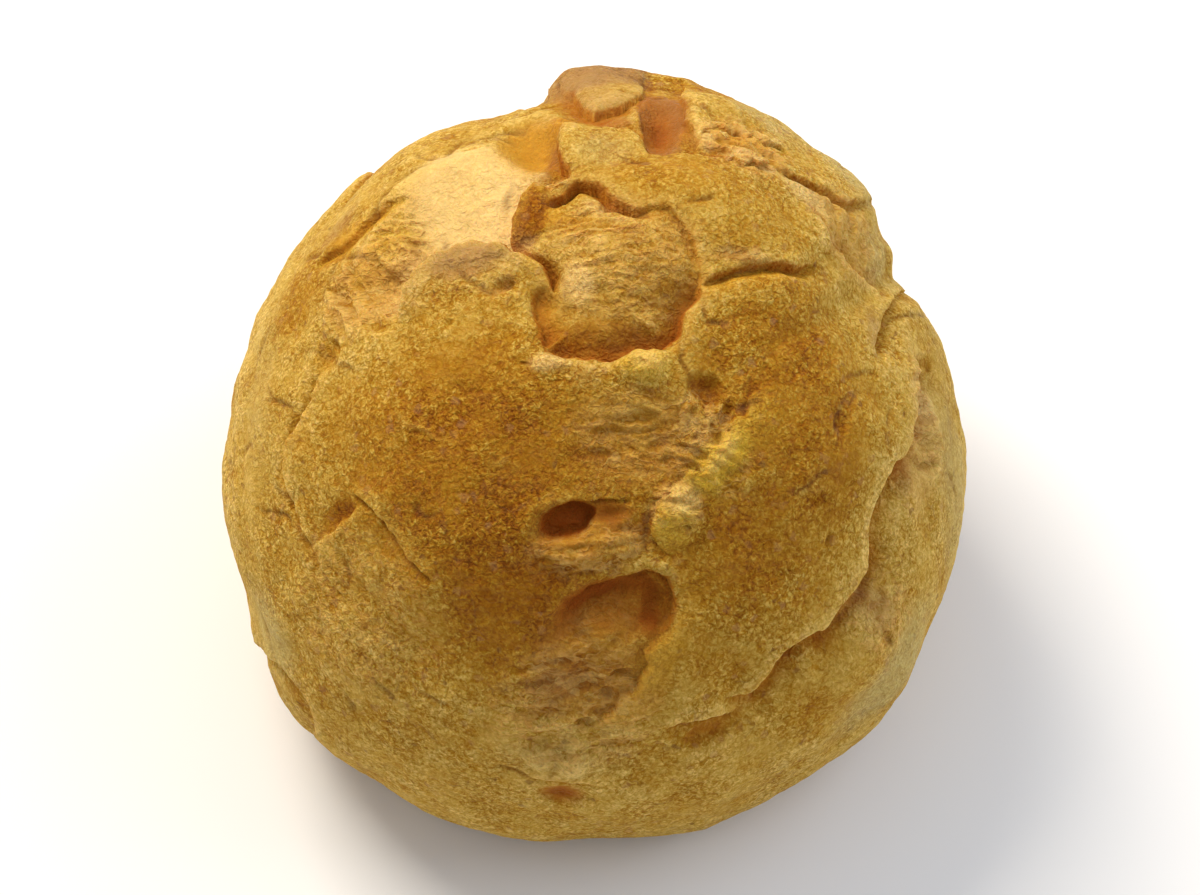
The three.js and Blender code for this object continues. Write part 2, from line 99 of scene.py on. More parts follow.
def formRadius(d):
    right, up, toward = d @ show["right"], d @ show["up"], d @ show["toward"]
    outline = outlineRadius(np.degrees(np.arctan2(up, right)) % 360)
    depth = np.where(toward > 0, puffForm["frontDepth"], puffForm["backDepth"])
    side = 1 / np.sqrt((right / outline) ** 2 + (up / outline) ** 2 + (toward / depth) ** 2)
    flat = puffForm["centreHeight"] / np.maximum(-d[:, 2], 1e-6)
    blend = np.maximum(puffForm["baseRound"] - np.abs(side - flat), 0)
    cut = np.minimum(side, flat) - blend**2 / (4 * puffForm["baseRound"])
    return np.where(d[:, 2] < 0, cut, side)


def offForm(points):
    d = points / np.linalg.norm(points, axis=1)[:, None]
    return d * formRadius(d)[:, None]


def onForm(face, places):
    places = np.array(places, float).reshape(-1, 2)
    near = np.zeros(len(places))
    far = np.full(len(places), 2.0 * puffForm["frontDepth"])
    for _ in range(14):  # halve until the form is met
        middle = (near + far) / 2
        share = (1 - middle / puffForm["eye"])[:, None]
        points = middle[:, None] * face["toward"]
        points = points + share * (places[:, :1] * face["right"] + places[:, 1:] * face["up"])
        outside = np.linalg.norm(points, axis=1) > formRadius(points / np.linalg.norm(points, axis=1)[:, None])
        far = np.where(outside, middle, far)
        near = np.where(outside, near, middle)
    return offForm(points)


dice = np.random.RandomState(puffForm["seed"])
noiseOrder = np.tile(dice.permutation(256), 2)
noiseSlopes = dice.normal(size=(256, 3)).astype(np.float32)
noiseSlopes /= np.linalg.norm(noiseSlopes, axis=1)[:, None]


def noise(points, size, shift=0.0):
    # smooth lumps of about that size, between -1 and 1
    scaled = (points / size + shift * 13.7 + 100).astype(np.float32)
    cell = np.floor(scaled).astype(np.int32)
    inside = scaled - cell
    fade = inside**3 * (inside * (inside * 6 - 15) + 10)
    total = np.zeros(len(points), np.float32)
    for corner in product((0, 1), repeat=3):
        x, y, z = ((cell + corner) & 255).T
        slope = noiseSlopes[noiseOrder[noiseOrder[noiseOrder[x] + y] + z]]
        weight = np.prod(np.where(corner, fade, 1 - fade), axis=1)
        total += weight * np.einsum("ij,ij->i", slope, inside - np.array(corner, np.float32))
    return total * 1.6


def drift(points, size, shift):
    return np.stack([noise(points, size, shift + 0.31 * axis) for axis in range(3)], axis=1)


def selectNothing():
    bpy.ops.object.select_all(action="DESELECT")
    bpy.context.view_layer.objects.active = None


selectNothing()
bpy.ops.mesh.primitive_ico_sphere_add(subdivisions=puffForm["ballLevel"], radius=1, location=(0, 0, 0))
puff = bpy.context.object
puff.name = puff.data.name = "chouxPuff"
flatList = np.zeros(len(puff.data.vertices) * 3)
puff.data.vertices.foreach_get("co", flatList)
directions = flatList.reshape(-1, 3)
directions /= np.linalg.norm(directions, axis=1)[:, None]
plain = directions * formRadius(directions)[:, None]
print("ball ready:", len(plain), "vertices")

# torn lines are ragged, so features are looked up from points that have drifted a little,
# and on the far side, whose paths have few places, drifted more
raggedness = {"wander": 0.12, "farWander": 0.5, "wanderSize": 4.5, "tatters": [(1.6, 0.24), (0.8, 0.07)]}
wander = raggedness["wander"] + raggedness["farWander"] * smooth(directions @ show["toward"], 0.05, -0.35)
ragged = plain + wander[:, None] * drift(plain, raggedness["wanderSize"], 1)
for shift, (size, amount) in enumerate(raggedness["tatters"], 2):
    ragged = ragged + amount * drift(plain, size, shift)

rise = np.zeros(len(plain))
fall = np.zeros(len(plain))
height = np.zeros(len(plain))
push = np.zeros((len(plain), 3))
markNames = "browning membrane deep crease lip blush amber yolk cream ash fold strand calm"
marks = {name: np.zeros(len(plain)) for name in markNames.split()}

tearStyle = {
    "lift": 0.8,  # shares of the edges' own lift and over, for all of them
    "over": 0.6,
    "tuck": 0.4,  # share of the overhang by which the wall below it draws back
    "tuckDepth": 0.5,
    # the pale lip along an overhanging torn edge is partly paler crust and partly painted highlight
    "lipWidth": 0.8,  # mm of pale lip
    "lipStart": (0.1, 0.5),
    "fullLip": 0.3,  # an edge's over from which its lip is palest
    # the dark gap below a torn edge and the wall above it are painted shade over orange-brown inner skin
    "wall": 0.4,  # mm of dark wall above the gap
    "fullDrop": 2,  # an edge's drop from which its gap is darkest
    "tintStart": 0.3,  # mm from the edge to a one-sided tint's full strength
    "clearsOver": (3, 5),
}

# Torn edges: the crust left of the path stands above the crust right of it.
# lift and drop are the two sides' heights, back and wide how far each takes to come level, over is
# how far the lip hangs out and turn the radius of its shoulder. high and low tint one side of an
# edge: mark, amount, reach. clears keeps marks off the high side. A place is right, up and strength;
# with no strength of its own it has none at an end of the path and all of it in between.
tornEdges = onFaces([
    # the window, a torn hole in the upper crust: the upper plate's rim over its skin
    (dict(lift=0.3, back=2.6, drop=1.5, wide=1, over=0.25, turn=0.5, shade=1.1, high=("blush", 0.3, 1.2)), [
        (-6, 23.9), (-5, 24.9, 0.8), (-4, 25.7), (-2.4, 26.9), (-0.2, 26.4), (1.5, 24.9), (3.6, 23.7, 0.7),
        (5, 23.9, 0.3), (6.3, 23.6, 0.35), (7.5, 22.9, 0.3), (9.1, 20.6, 0.45), (10, 18.6, 0.3), (10.1, 17.2)]),
    # the window's right and lower rim
    (dict(lift=0.3, back=3, drop=2.1, wide=2.6, over=0.2, turn=1.4, shade=1.2), [
        (10, 18.2), (10.2, 16.4, 0.5), (10, 15.3, 0.8), (8.8, 13.8, 0.9), (8.2, 12.4), (7.7, 11.2), (6.2, 10),
        (3.8, 9.9), (1.8, 9), (-0.6, 8.9, 0.9), (-3, 9.1, 0.9), (-4.6, 9.4, 0.8), (-5.8, 10.2, 0.4),
        (-6.2, 11.2)]),
    # the window's left wall, a soft slope
    (dict(lift=0.3, back=3, drop=1.9, wide=2.6, over=0, turn=2.2), [
        (-4.9, 9.5), (-5.8, 10.7, 0.9), (-6, 12, 0.8), (-6.7, 13.4, 0.7), (-6.8, 14.8, 0.7), (-6.3, 15.9, 0.5),
        (-5.4, 16.9)]),
    # the crevice between the window's flap and the front plate
    (dict(lift=0.25, back=2, drop=1.7, wide=0.8, over=0.2, turn=0.5, shade=0.9), [
        (-4.8, 15.6), (-5.1, 17.2, 0.9), (-5.8, 18.4), (-6.8, 19.1), (-7.8, 19.8), (-9, 20.7, 0.8),
        (-9.8, 21.4)]),
    # the flap's left edge, over the bright slope, whose cream tint is partly paler skin and partly painted
    # highlight
    (dict(lift=1.1, back=3.5, drop=1.6, wide=3.5, over=0.4, turn=0.7, shade=0.3,
          high=("browning", 0.3, 3), low=("cream", 0.9, 3.5), clears=("cream",)), [
        (-5.6, 27.3), (-6.6, 26.8, 0.8), (-7.4, 25.8), (-8.4, 24), (-9.1, 22.3), (-9.3, 21.2, 0.8), (-9, 20.4)]),
    # the front plate's top edge, over the bright slope, whose cream tint is partly paler skin and partly painted
    # highlight
    (dict(lift=1.2, back=4.5, drop=2, wide=5, over=0.4, turn=0.9, shade=0.3,
          high=("blush", 0.6, 3), low=("cream", 0.9, 3.5), clears=("cream", "membrane")), [
        (-6.6, 18.9), (-8, 19.4, 0.6), (-9.6, 20.1, 0.9), (-11, 20.6), (-12.5, 20.5), (-14, 20.2), (-15.5, 19.6),
        (-17, 18.8), (-18.4, 17.6), (-19.3, 16), (-19.9, 14.2, 0.7), (-20.4, 12.4)]),
    # the upper plate's left edge, over the neck
    (dict(lift=0.8, back=3, drop=2, wide=4, over=0.3, turn=1, shade=0.4), [
        (-3.2, 33, 0.3), (-4, 32.2, 0.8), (-4.3, 31), (-4.2, 30), (-3.9, 29), (-3.2, 28.2, 0.8), (-2.6, 27.3)]),
    # the upper plate's top edge, below the knob and the pocket
    (dict(lift=0.2, back=2.2, drop=1.1, wide=1.4, over=0.25, turn=0.9), [
        (14.4, 27.9), (13, 28.6, 0.5), (11, 29.4, 0.7), (8, 29.9, 0.8), (6, 29.9, 0.9), (5.2, 30), (4.6, 30.6),
        (4.7, 31.6), (3.6, 32, 0.9), (2.8, 32.5, 0.9), (1.8, 32.2, 0.9), (1, 32.2, 0.9), (-0.3, 33, 0.8),
        (-1.6, 32.8, 0.8), (-3, 32.3, 0.8), (-4, 32.2)]),
    # the knob's crumbly lower edge
    (dict(lift=0, back=4, drop=1.6, wide=3.4, over=0.1, turn=1.6, shade=1.8, high=("blush", 0.8, 5)), [
        (-4.4, 35.6), (-3.6, 35.6, 0.5), (-2.8, 35.7, 0.8), (-2, 35), (-1.2, 34.3), (-0.6, 33.8), (0, 34),
        (0.8, 34.3), (1.6, 34.5), (2.5, 34.7), (3.3, 34.9, 0.8), (4, 35.4, 0.5), (4.6, 36.3)]),
    # the knob's left side
    (dict(lift=0.6, back=3, drop=1.1, wide=4.5, over=0, turn=2.2, shade=0.3), [
        (-5.2, 39.4, 1), (-5.4, 37.8), (-5.3, 36.4, 0.8), (-5.1, 35.4)]),
    # the pocket beside the knob: its right crest and its left wall
    (dict(lift=0.3, back=1.8, drop=1, wide=2.6, over=0.25, turn=1.3), [
        (8.5, 36.8), (8.3, 34.8, 0.9), (8.6, 34), (8.4, 33.2), (9, 32.8), (9.6, 31.9), (9.8, 31, 0.9),
        (9.7, 30.2, 0.7), (9.4, 29.5)]),
    (dict(lift=0.25, back=1, drop=0.9, wide=2, over=0.2, turn=1), [
        (4.9, 30.2), (4.6, 31.6, 0.7), (4.3, 33, 0.9), (4.1, 34.6, 0.9), (4.2, 36.4, 0.3), (4.7, 37.6)]),
    # the upper right rim, over the terrace
    (dict(lift=0.15, back=2.6, drop=0.9, wide=1, over=0.3, turn=0.5, shade=0.6), [
        (16.6, 28.3), (18.8, 27.8, 0.8), (21, 27), (23, 26), (24.9, 24.9), (26.6, 24.7, 0.5), (27.6, 24.4)]),
    # torn skin between that rim and the upper plate, and a pale flake in it
    (dict(lift=0.2, back=1.4, drop=0.6, wide=1.1, over=0.3, turn=0.4, high=("cream", 0.5, 1)), [
        (10, 30.4), (10.4, 31.6, 0.7), (11.6, 32.1, 0.5), (12.6, 31.6), (13.6, 31.9, 0.6), (14.6, 31.2),
        (15.6, 31.3, 0.5), (16.6, 30.7, 0.9), (18, 30.5, 0.8), (19.4, 29.4)]),
    (dict(lift=0.25, back=0.9, drop=0.6, wide=0.8, over=0.4, turn=0.3, high=("cream", 0.9, 1.2)), [
        (12, 29.2), (12.8, 28.8, 0.8), (13.5, 28.9, 0.5), (14.2, 28.2), (15, 28.5, 0.6), (15.8, 28.1),
        (16.8, 28.7, 0.4), (17.4, 28.6)]),
    # the upper plate's right edge, over the terrace
    (dict(lift=0.3, back=3, drop=0.6, wide=2.6, over=0.1, turn=1.6), [
        (22, 18.8), (23.3, 20.4, 0.9), (23, 22.2), (21.4, 24, 0.9), (18.5, 25.8)]),
    # the gash between the upper and the right plate
    (dict(lift=0.15, back=2.4, drop=1.4, wide=1, over=0.2, turn=0.6, low=("amber", 1, 1.6)), [
        (10.4, 16.6, 0.4), (11.6, 17.2, 0.9), (13, 17.7), (15, 18.1), (17, 18.2), (19, 18), (20.4, 18.1, 0.8),
        (21.8, 18.7)]),
    # the right plate's top right edge, over the terrace
    (dict(lift=0.3, back=2.2, drop=0.8, wide=2.2, over=0.1, turn=1.2), [
        (28.6, 14.6), (28, 15.6, 0.8), (27.2, 16.8), (26, 18.4), (24.5, 20.2), (23.2, 21.4, 0.4), (22.4, 22)]),
    # the right plate's outer edge, over the side band
    (dict(lift=0.5, back=4.5, drop=2.7, wide=2.9, over=0.3, turn=1, shade=2.4), [
        (12.4, -25), (14.6, -25.2, 0.5), (15.4, -24.8, 0.6), (16.6, -23.4, 0.7), (17.6, -21.8, 0.9),
        (18.6, -20.4), (20, -19.4, 0.9), (21.6, -18.5), (22.8, -18.4, 1.1), (24, -16.6, 1.1), (25.4, -15, 1.1),
        (26.4, -13.4, 1.2), (27.3, -12), (27.5, -10.4, 0.8), (27.2, -8.6, 0.7), (27.6, -6.6, 0.8),
        (28.2, -4.6, 1.1), (28.8, -3, 1.3), (29.6, -1.6, 1.2), (30.8, -0.8, 0.9), (31.4, 1.4, 0.7),
        (31.8, 3.4, 0.8), (31.9, 5.6, 0.8), (32.1, 7.6, 0.6), (31.6, 9.6)]),
    # the right plate's inner edge, over the valley
    (dict(lift=0.3, back=2, drop=0.6, wide=2, over=0.35, turn=0.6, shade=0.7, high=("yolk", 0.9, 2.4)), [
        (16.6, 6.2), (15.2, 5.2, 0.4), (14.5, 4.5, 0.3), (14.2, 3.2, 0.5), (13.2, 3, 0.4), (12.9, 1.6, 0.8),
        (12.1, 1.6, 0.5), (11.9, 0.2), (10.9, 0.2, 0.4), (10.7, -1.2, 0.9), (9.8, -1.3, 0.5), (10, -2.5),
        (8.9, -2.4, 0.4), (8.4, -3.5, 0.8), (7.4, -3.8, 0.4), (6.7, -4.9, 0.9), (5.7, -5.6, 0.7), (5.5, -7, 0.8),
        (5.2, -8.2, 0.6), (5.8, -9.6, 0.5), (6.8, -10.4, 0.3), (8, -11.2)]),
    (dict(lift=0.3, back=2.5, drop=0.8, wide=1.8, over=0.2, turn=0.8, shade=0.6, high=("amber", 0.8, 1.8)), [
        (7.2, -11.8), (7.8, -13.2, 0.2), (8.1, -15, 0.3), (7.7, -17.2, 0.5), (6.8, -18.7, 0.9),
        (5.4, -19.5, 0.9), (4.4, -20.3, 0.8), (4.8, -21.6, 0.8), (4, -23, 0.9), (3.4, -24.2, 0.8),
        (2.2, -25, 0.8), (1.6, -26.3, 0.8), (0.4, -27, 0.7), (-0.4, -28)]),
    # the left crack beside the front plate
    (dict(lift=0.4, back=3.5, drop=0.9, wide=1, over=0.4, turn=0.4), [
        (-27.2, 8.4), (-28.1, 6.6, 0.9), (-28.5, 5.2), (-29.4, 3.6), (-30.4, 1.8), (-31.1, 0.4), (-31.2, -1),
        (-31.4, -2.4, 0.9), (-31.1, -4, 0.8), (-30.5, -6, 0.6), (-29.4, -8.8, 0.5), (-28.3, -11, 0.4),
        (-26.8, -13.6, 0.3), (-25.4, -16)]),
    # the groove under the upper left rim
    (dict(lift=0.3, back=2.6, drop=0.75, wide=1.5, over=0.1, turn=0.8, shade=0.6, low=("amber", 1, 2)), [
        (-28.6, 17.8), (-27.6, 19, 0.9), (-26, 20), (-24, 22), (-22, 23.6), (-21, 24.3, 0.8), (-19.4, 24.9, 0.4),
        (-18, 25)]),
    # the rough torn patch's lower edge
    (dict(lift=0.15, back=2, drop=0.4, wide=1.6, over=0.1, turn=0.8), [
        (-19.5, 12.4), (-21.6, 11.4, 0.8), (-24, 12.4, 0.8), (-25.8, 14.4, 0.9), (-26.8, 17)]),
    # a lip on the front plate's left side, over a small triangular notch
    (dict(lift=0.2, back=1.8, drop=0.5, wide=2, over=0.1, turn=0.8, low=("browning", 0.15, 1.6)), [
        (-23.6, -5.9), (-24.6, -6.5, 0.9), (-25.8, -7.6), (-26.6, -8.3), (-27.6, -9, 0.6), (-28.4, -9.6)]),
    # a crack across the front plate
    (dict(lift=0.28, back=2, drop=0.5, wide=0.8, over=0.3, turn=0.4), [
        (-24.8, -4.1), (-23.6, -4.8, 0.8), (-22, -5.8), (-20.6, -7.2), (-19.4, -8.8, 0.9), (-18.2, -10.8),
        (-16.6, -12, 0.9), (-16, -13.2)]),
    # the upper left lip of the slot in the valley
    (dict(lift=0.15, back=1.6, drop=1.5, wide=1.6, over=0.3, turn=0.35, shade=1.4), [
        (-6.4, -9), (-6, -7.9), (-4.9, -6.5), (-4.1, -5.6), (-3, -5.2, 0.8), (-1, -5.2, 0.4), (1.6, -5.2, 0.3),
        (3.6, -5)]),
    # the rim of the deep front hole
    (dict(lift=0.1, back=1.4, drop=1.5, wide=2.4, over=0.15, turn=0.5, shade=1.5), [
        (-4, -18.4), (-3.8, -17, 0.4), (-2.8, -15.4, 0.6), (-1, -14.3, 0.8), (1, -13.7, 0.8), (3, -13.2, 0.9),
        (4.6, -12.5), (6, -12.7), (7.1, -13.7), (7.6, -15.4), (7.3, -17.2), (6.3, -18.6, 0.8), (5, -19.4)]),
    # the lips over the two lower slits
    (dict(lift=0.4, back=2, drop=1.3, wide=2.5, over=0.35, turn=0.9), [
        (5.8, -28.7), (7, -28, 0.6), (8, -27.6, 0.9), (10.5, -27.1), (13.4, -27, 0.8), (15.2, -26.7)]),
    (dict(lift=0.1, back=2, drop=0.8, wide=1.5, over=0.1, turn=0.7), [
        (-8, -33.2), (-6, -33, 0.8), (-4, -33), (-2.6, -33.2), (-0.6, -33.4, 0.4), (0.4, -33.8)]),
    # the lower left rim's fold
    (dict(lift=0.45, back=2.5, drop=1.5, wide=1.7, over=0.3, turn=0.9), [
        (-35.2, -18), (-33.4, -20.6, 0.8), (-31.6, -22.6), (-30.2, -24.2), (-29.2, -25.6, 0.9),
        (-28.6, -27.4, 0.6), (-28.4, -29)]),
    # the side fold that starts at the notch in the right outline
    (dict(lift=0.3, back=2.5, drop=1.1, wide=1.5, over=0.1, turn=1), [
        (28.2, 8.6), (28, 10.4, 0.7), (28.7, 12.2, 0.8), (29, 13.8, 0.8), (29.7, 15.3, 0.5), (30.8, 16, 0.3)]),
], [
    # the rear plate's edge, the fold down from it, the right hand fold, a low crack, a small tear
    (dict(lift=0.6, back=4, drop=1.9, wide=2.2, over=0.5, turn=1.2), [
        (-25, -3.4), (-21, -1, 0.7), (-16, -0.4), (-11, 2, 0.9), (-7, 1.8), (-2, 3.4, 1.1), (4, 3.2, 0.8),
        (9, 5, 0.9), (14, 4, 0.6), (19, 5.4)]),
    (dict(lift=0.5, back=3, drop=1.5, wide=2, over=0.4, turn=1), [
        (3.4, 2.4), (4.6, -1, 0.9), (2.6, -5), (4.4, -8.4, 0.8), (1.8, -12, 0.5), (2.4, -15)]),
    (dict(lift=0.5, back=3, drop=1.4, wide=2.2, over=0.4, turn=1.1), [
        (27, 12), (24.4, 7, 0.9), (25.4, 1), (22, -4, 0.9), (23.4, -9, 0.4), (22, -13)]),
    (dict(lift=0.4, back=3, drop=1, wide=1.8, over=0.4, turn=0.8), [
        (-10, -15), (-15, -12.4, 0.8), (-20, -12), (-25, -8.4, 0.8), (-29.4, -8)]),
    (dict(lift=0.6, back=3, drop=2, wide=1.7, over=0.5, turn=0.9), [
        (8, -3), (11.4, -1.2, 0.9), (14.6, -2.4, 1.1), (18, -0.6, 0.8), (20.6, -1.6)]),
])


def tracePath(face, places, spacing=0.8):
    # a soft curve through the places, on the form, and its strengths
    ends = (0, len(places) - 1)
    places = np.array([(*place, i not in ends)[:3] for i, place in enumerate(places)], float)
    knots = np.vstack([2 * places[0] - places[1], places, 2 * places[-1] - places[-2]])
    made = []
    for before, start, end, after in zip(knots, knots[1:], knots[2:], knots[3:]):
        count = max(1, round(math.hypot(*(end - start)[:2]) / spacing))
        for t in np.arange(count) / count:
            made.append(0.5 * (2 * start + (end - before) * t + (2 * before - 5 * start + 4 * end - after) * t**2
                               + (3 * start - before - 3 * end + after) * t**3))
    made = np.array(made + [places[-1]])
    return onForm(face, made[:, :2]), np.maximum(made[:, 2], 0)


def within(centre, reach):
    return np.flatnonzero(np.sum((plain - centre) ** 2, axis=1) < reach**2)


def atLeast(name, chosen, amounts):
    marks[name][chosen] = np.maximum(marks[name][chosen], amounts)


def beside(points, path, strengths):
    # distance from the path, positive on its left, the path's strength there and the way to its left
    steps = np.diff(path, axis=0)
    left = np.cross(path[:-1], steps)
    left /= np.linalg.norm(left, axis=1)[:, None]
    corner = np.vstack([left[:1], left[:-1] + left[1:], left[-1:]])
    corner /= np.linalg.norm(corner, axis=1)[:, None]
    nearest = np.full(len(points), np.inf)
    strength = np.zeros(len(points))
    side = np.zeros((len(points), 3))
    for i, step in enumerate(steps):
        offset = points - path[i]
        share = np.clip(offset @ step / (step @ step), 0, 1)
        offset -= share[:, None] * step
        distance = np.einsum("ij,ij->i", offset, offset)
        closer = np.flatnonzero(distance < nearest)
        share = share[closer]
        nearest[closer] = distance[closer]
        strength[closer] = strengths[i] + (strengths[i + 1] - strengths[i]) * share
        side[closer] = left[i]
        side[closer[share <= 0]] = corner[i]
        side[closer[share >= 1]] = corner[i + 1]
    signed = np.sqrt(nearest) * np.where(np.einsum("ij,ij->i", side, points) < 0, -1, 1)
    return signed, strength, side


cleared = []


def tear(face, shape, places):
    path, strengths = tracePath(face, places)
    middle = path.mean(axis=0)
    reach = np.linalg.norm(path - middle, axis=1).max() + 2.4 * max(shape["back"], shape["wide"])
    chosen = within(middle, reach)
    distance, strength, side = beside(ragged[chosen], path, strengths)
    bend = 1 - np.clip((distance + 0.1) / shape["turn"], 0, 1)
    level = np.sqrt(1 - bend**2)  # nought below the lip, then round the shoulder to one
    lip = level * np.exp(-((distance / shape["back"]) ** 2))
    foot = (1 - level) * np.exp(-((distance / shape["wide"]) ** 2))
    rise[chosen] = np.maximum(rise[chosen], strength * shape["lift"] * tearStyle["lift"] * lip)
    fall[chosen] = np.maximum(fall[chosen], strength * shape["drop"] * foot)
    strong = np.minimum(strength, 1)
    hang = -level * np.exp(-((distance / (0.6 + 0.4 * shape["turn"])) ** 2))
    tuck = tearStyle["tuck"] * (1 - level) * smooth(-distance, 0, 0.2)
    hang += tuck * np.exp(-((distance / tearStyle["tuckDepth"]) ** 2))
    push[chosen] += (hang * strong * shape["over"] * tearStyle["over"])[:, None] * side
    # painted highlight, partly paler crust: a pale lip along the shoulder of each overhanging edge
    pale = strong * smooth(distance, *tearStyle["lipStart"]) * np.exp(-((distance / tearStyle["lipWidth"]) ** 2))
    atLeast("lip", chosen, pale * min(shape["over"] / tearStyle["fullLip"], 1))
    # painted shade over orange-brown inner skin: the deep colour in the gap below each edge and up its wall
    shade = shape.get("shade", 0.3 + 0.5 * shape["wide"])
    sunk = np.exp(-((np.minimum(distance, 0) / shade) ** 2)) * (1 - smooth(distance, 0.1, tearStyle["wall"]))
    atLeast("deep", chosen, strong * sunk * min(shape["drop"] / tearStyle["fullDrop"], 1))
    for key, way in (("high", distance), ("low", -distance)):
        if key in shape:
            name, amount, length = shape[key]
            tint = amount * strong * smooth(way, 0, tearStyle["tintStart"]) * np.exp(-((way / length) ** 2))
            atLeast(name, chosen, tint)
    if "clears" in shape:
        onPlate = strong * smooth(distance, 0, tearStyle["tintStart"])
        cleared.append((chosen, onPlate * (1 - smooth(distance, *tearStyle["clearsOver"])), shape["clears"]))


for face, shape, places in tornEdges:
    tear(face, shape, places)
print("torn edges done")

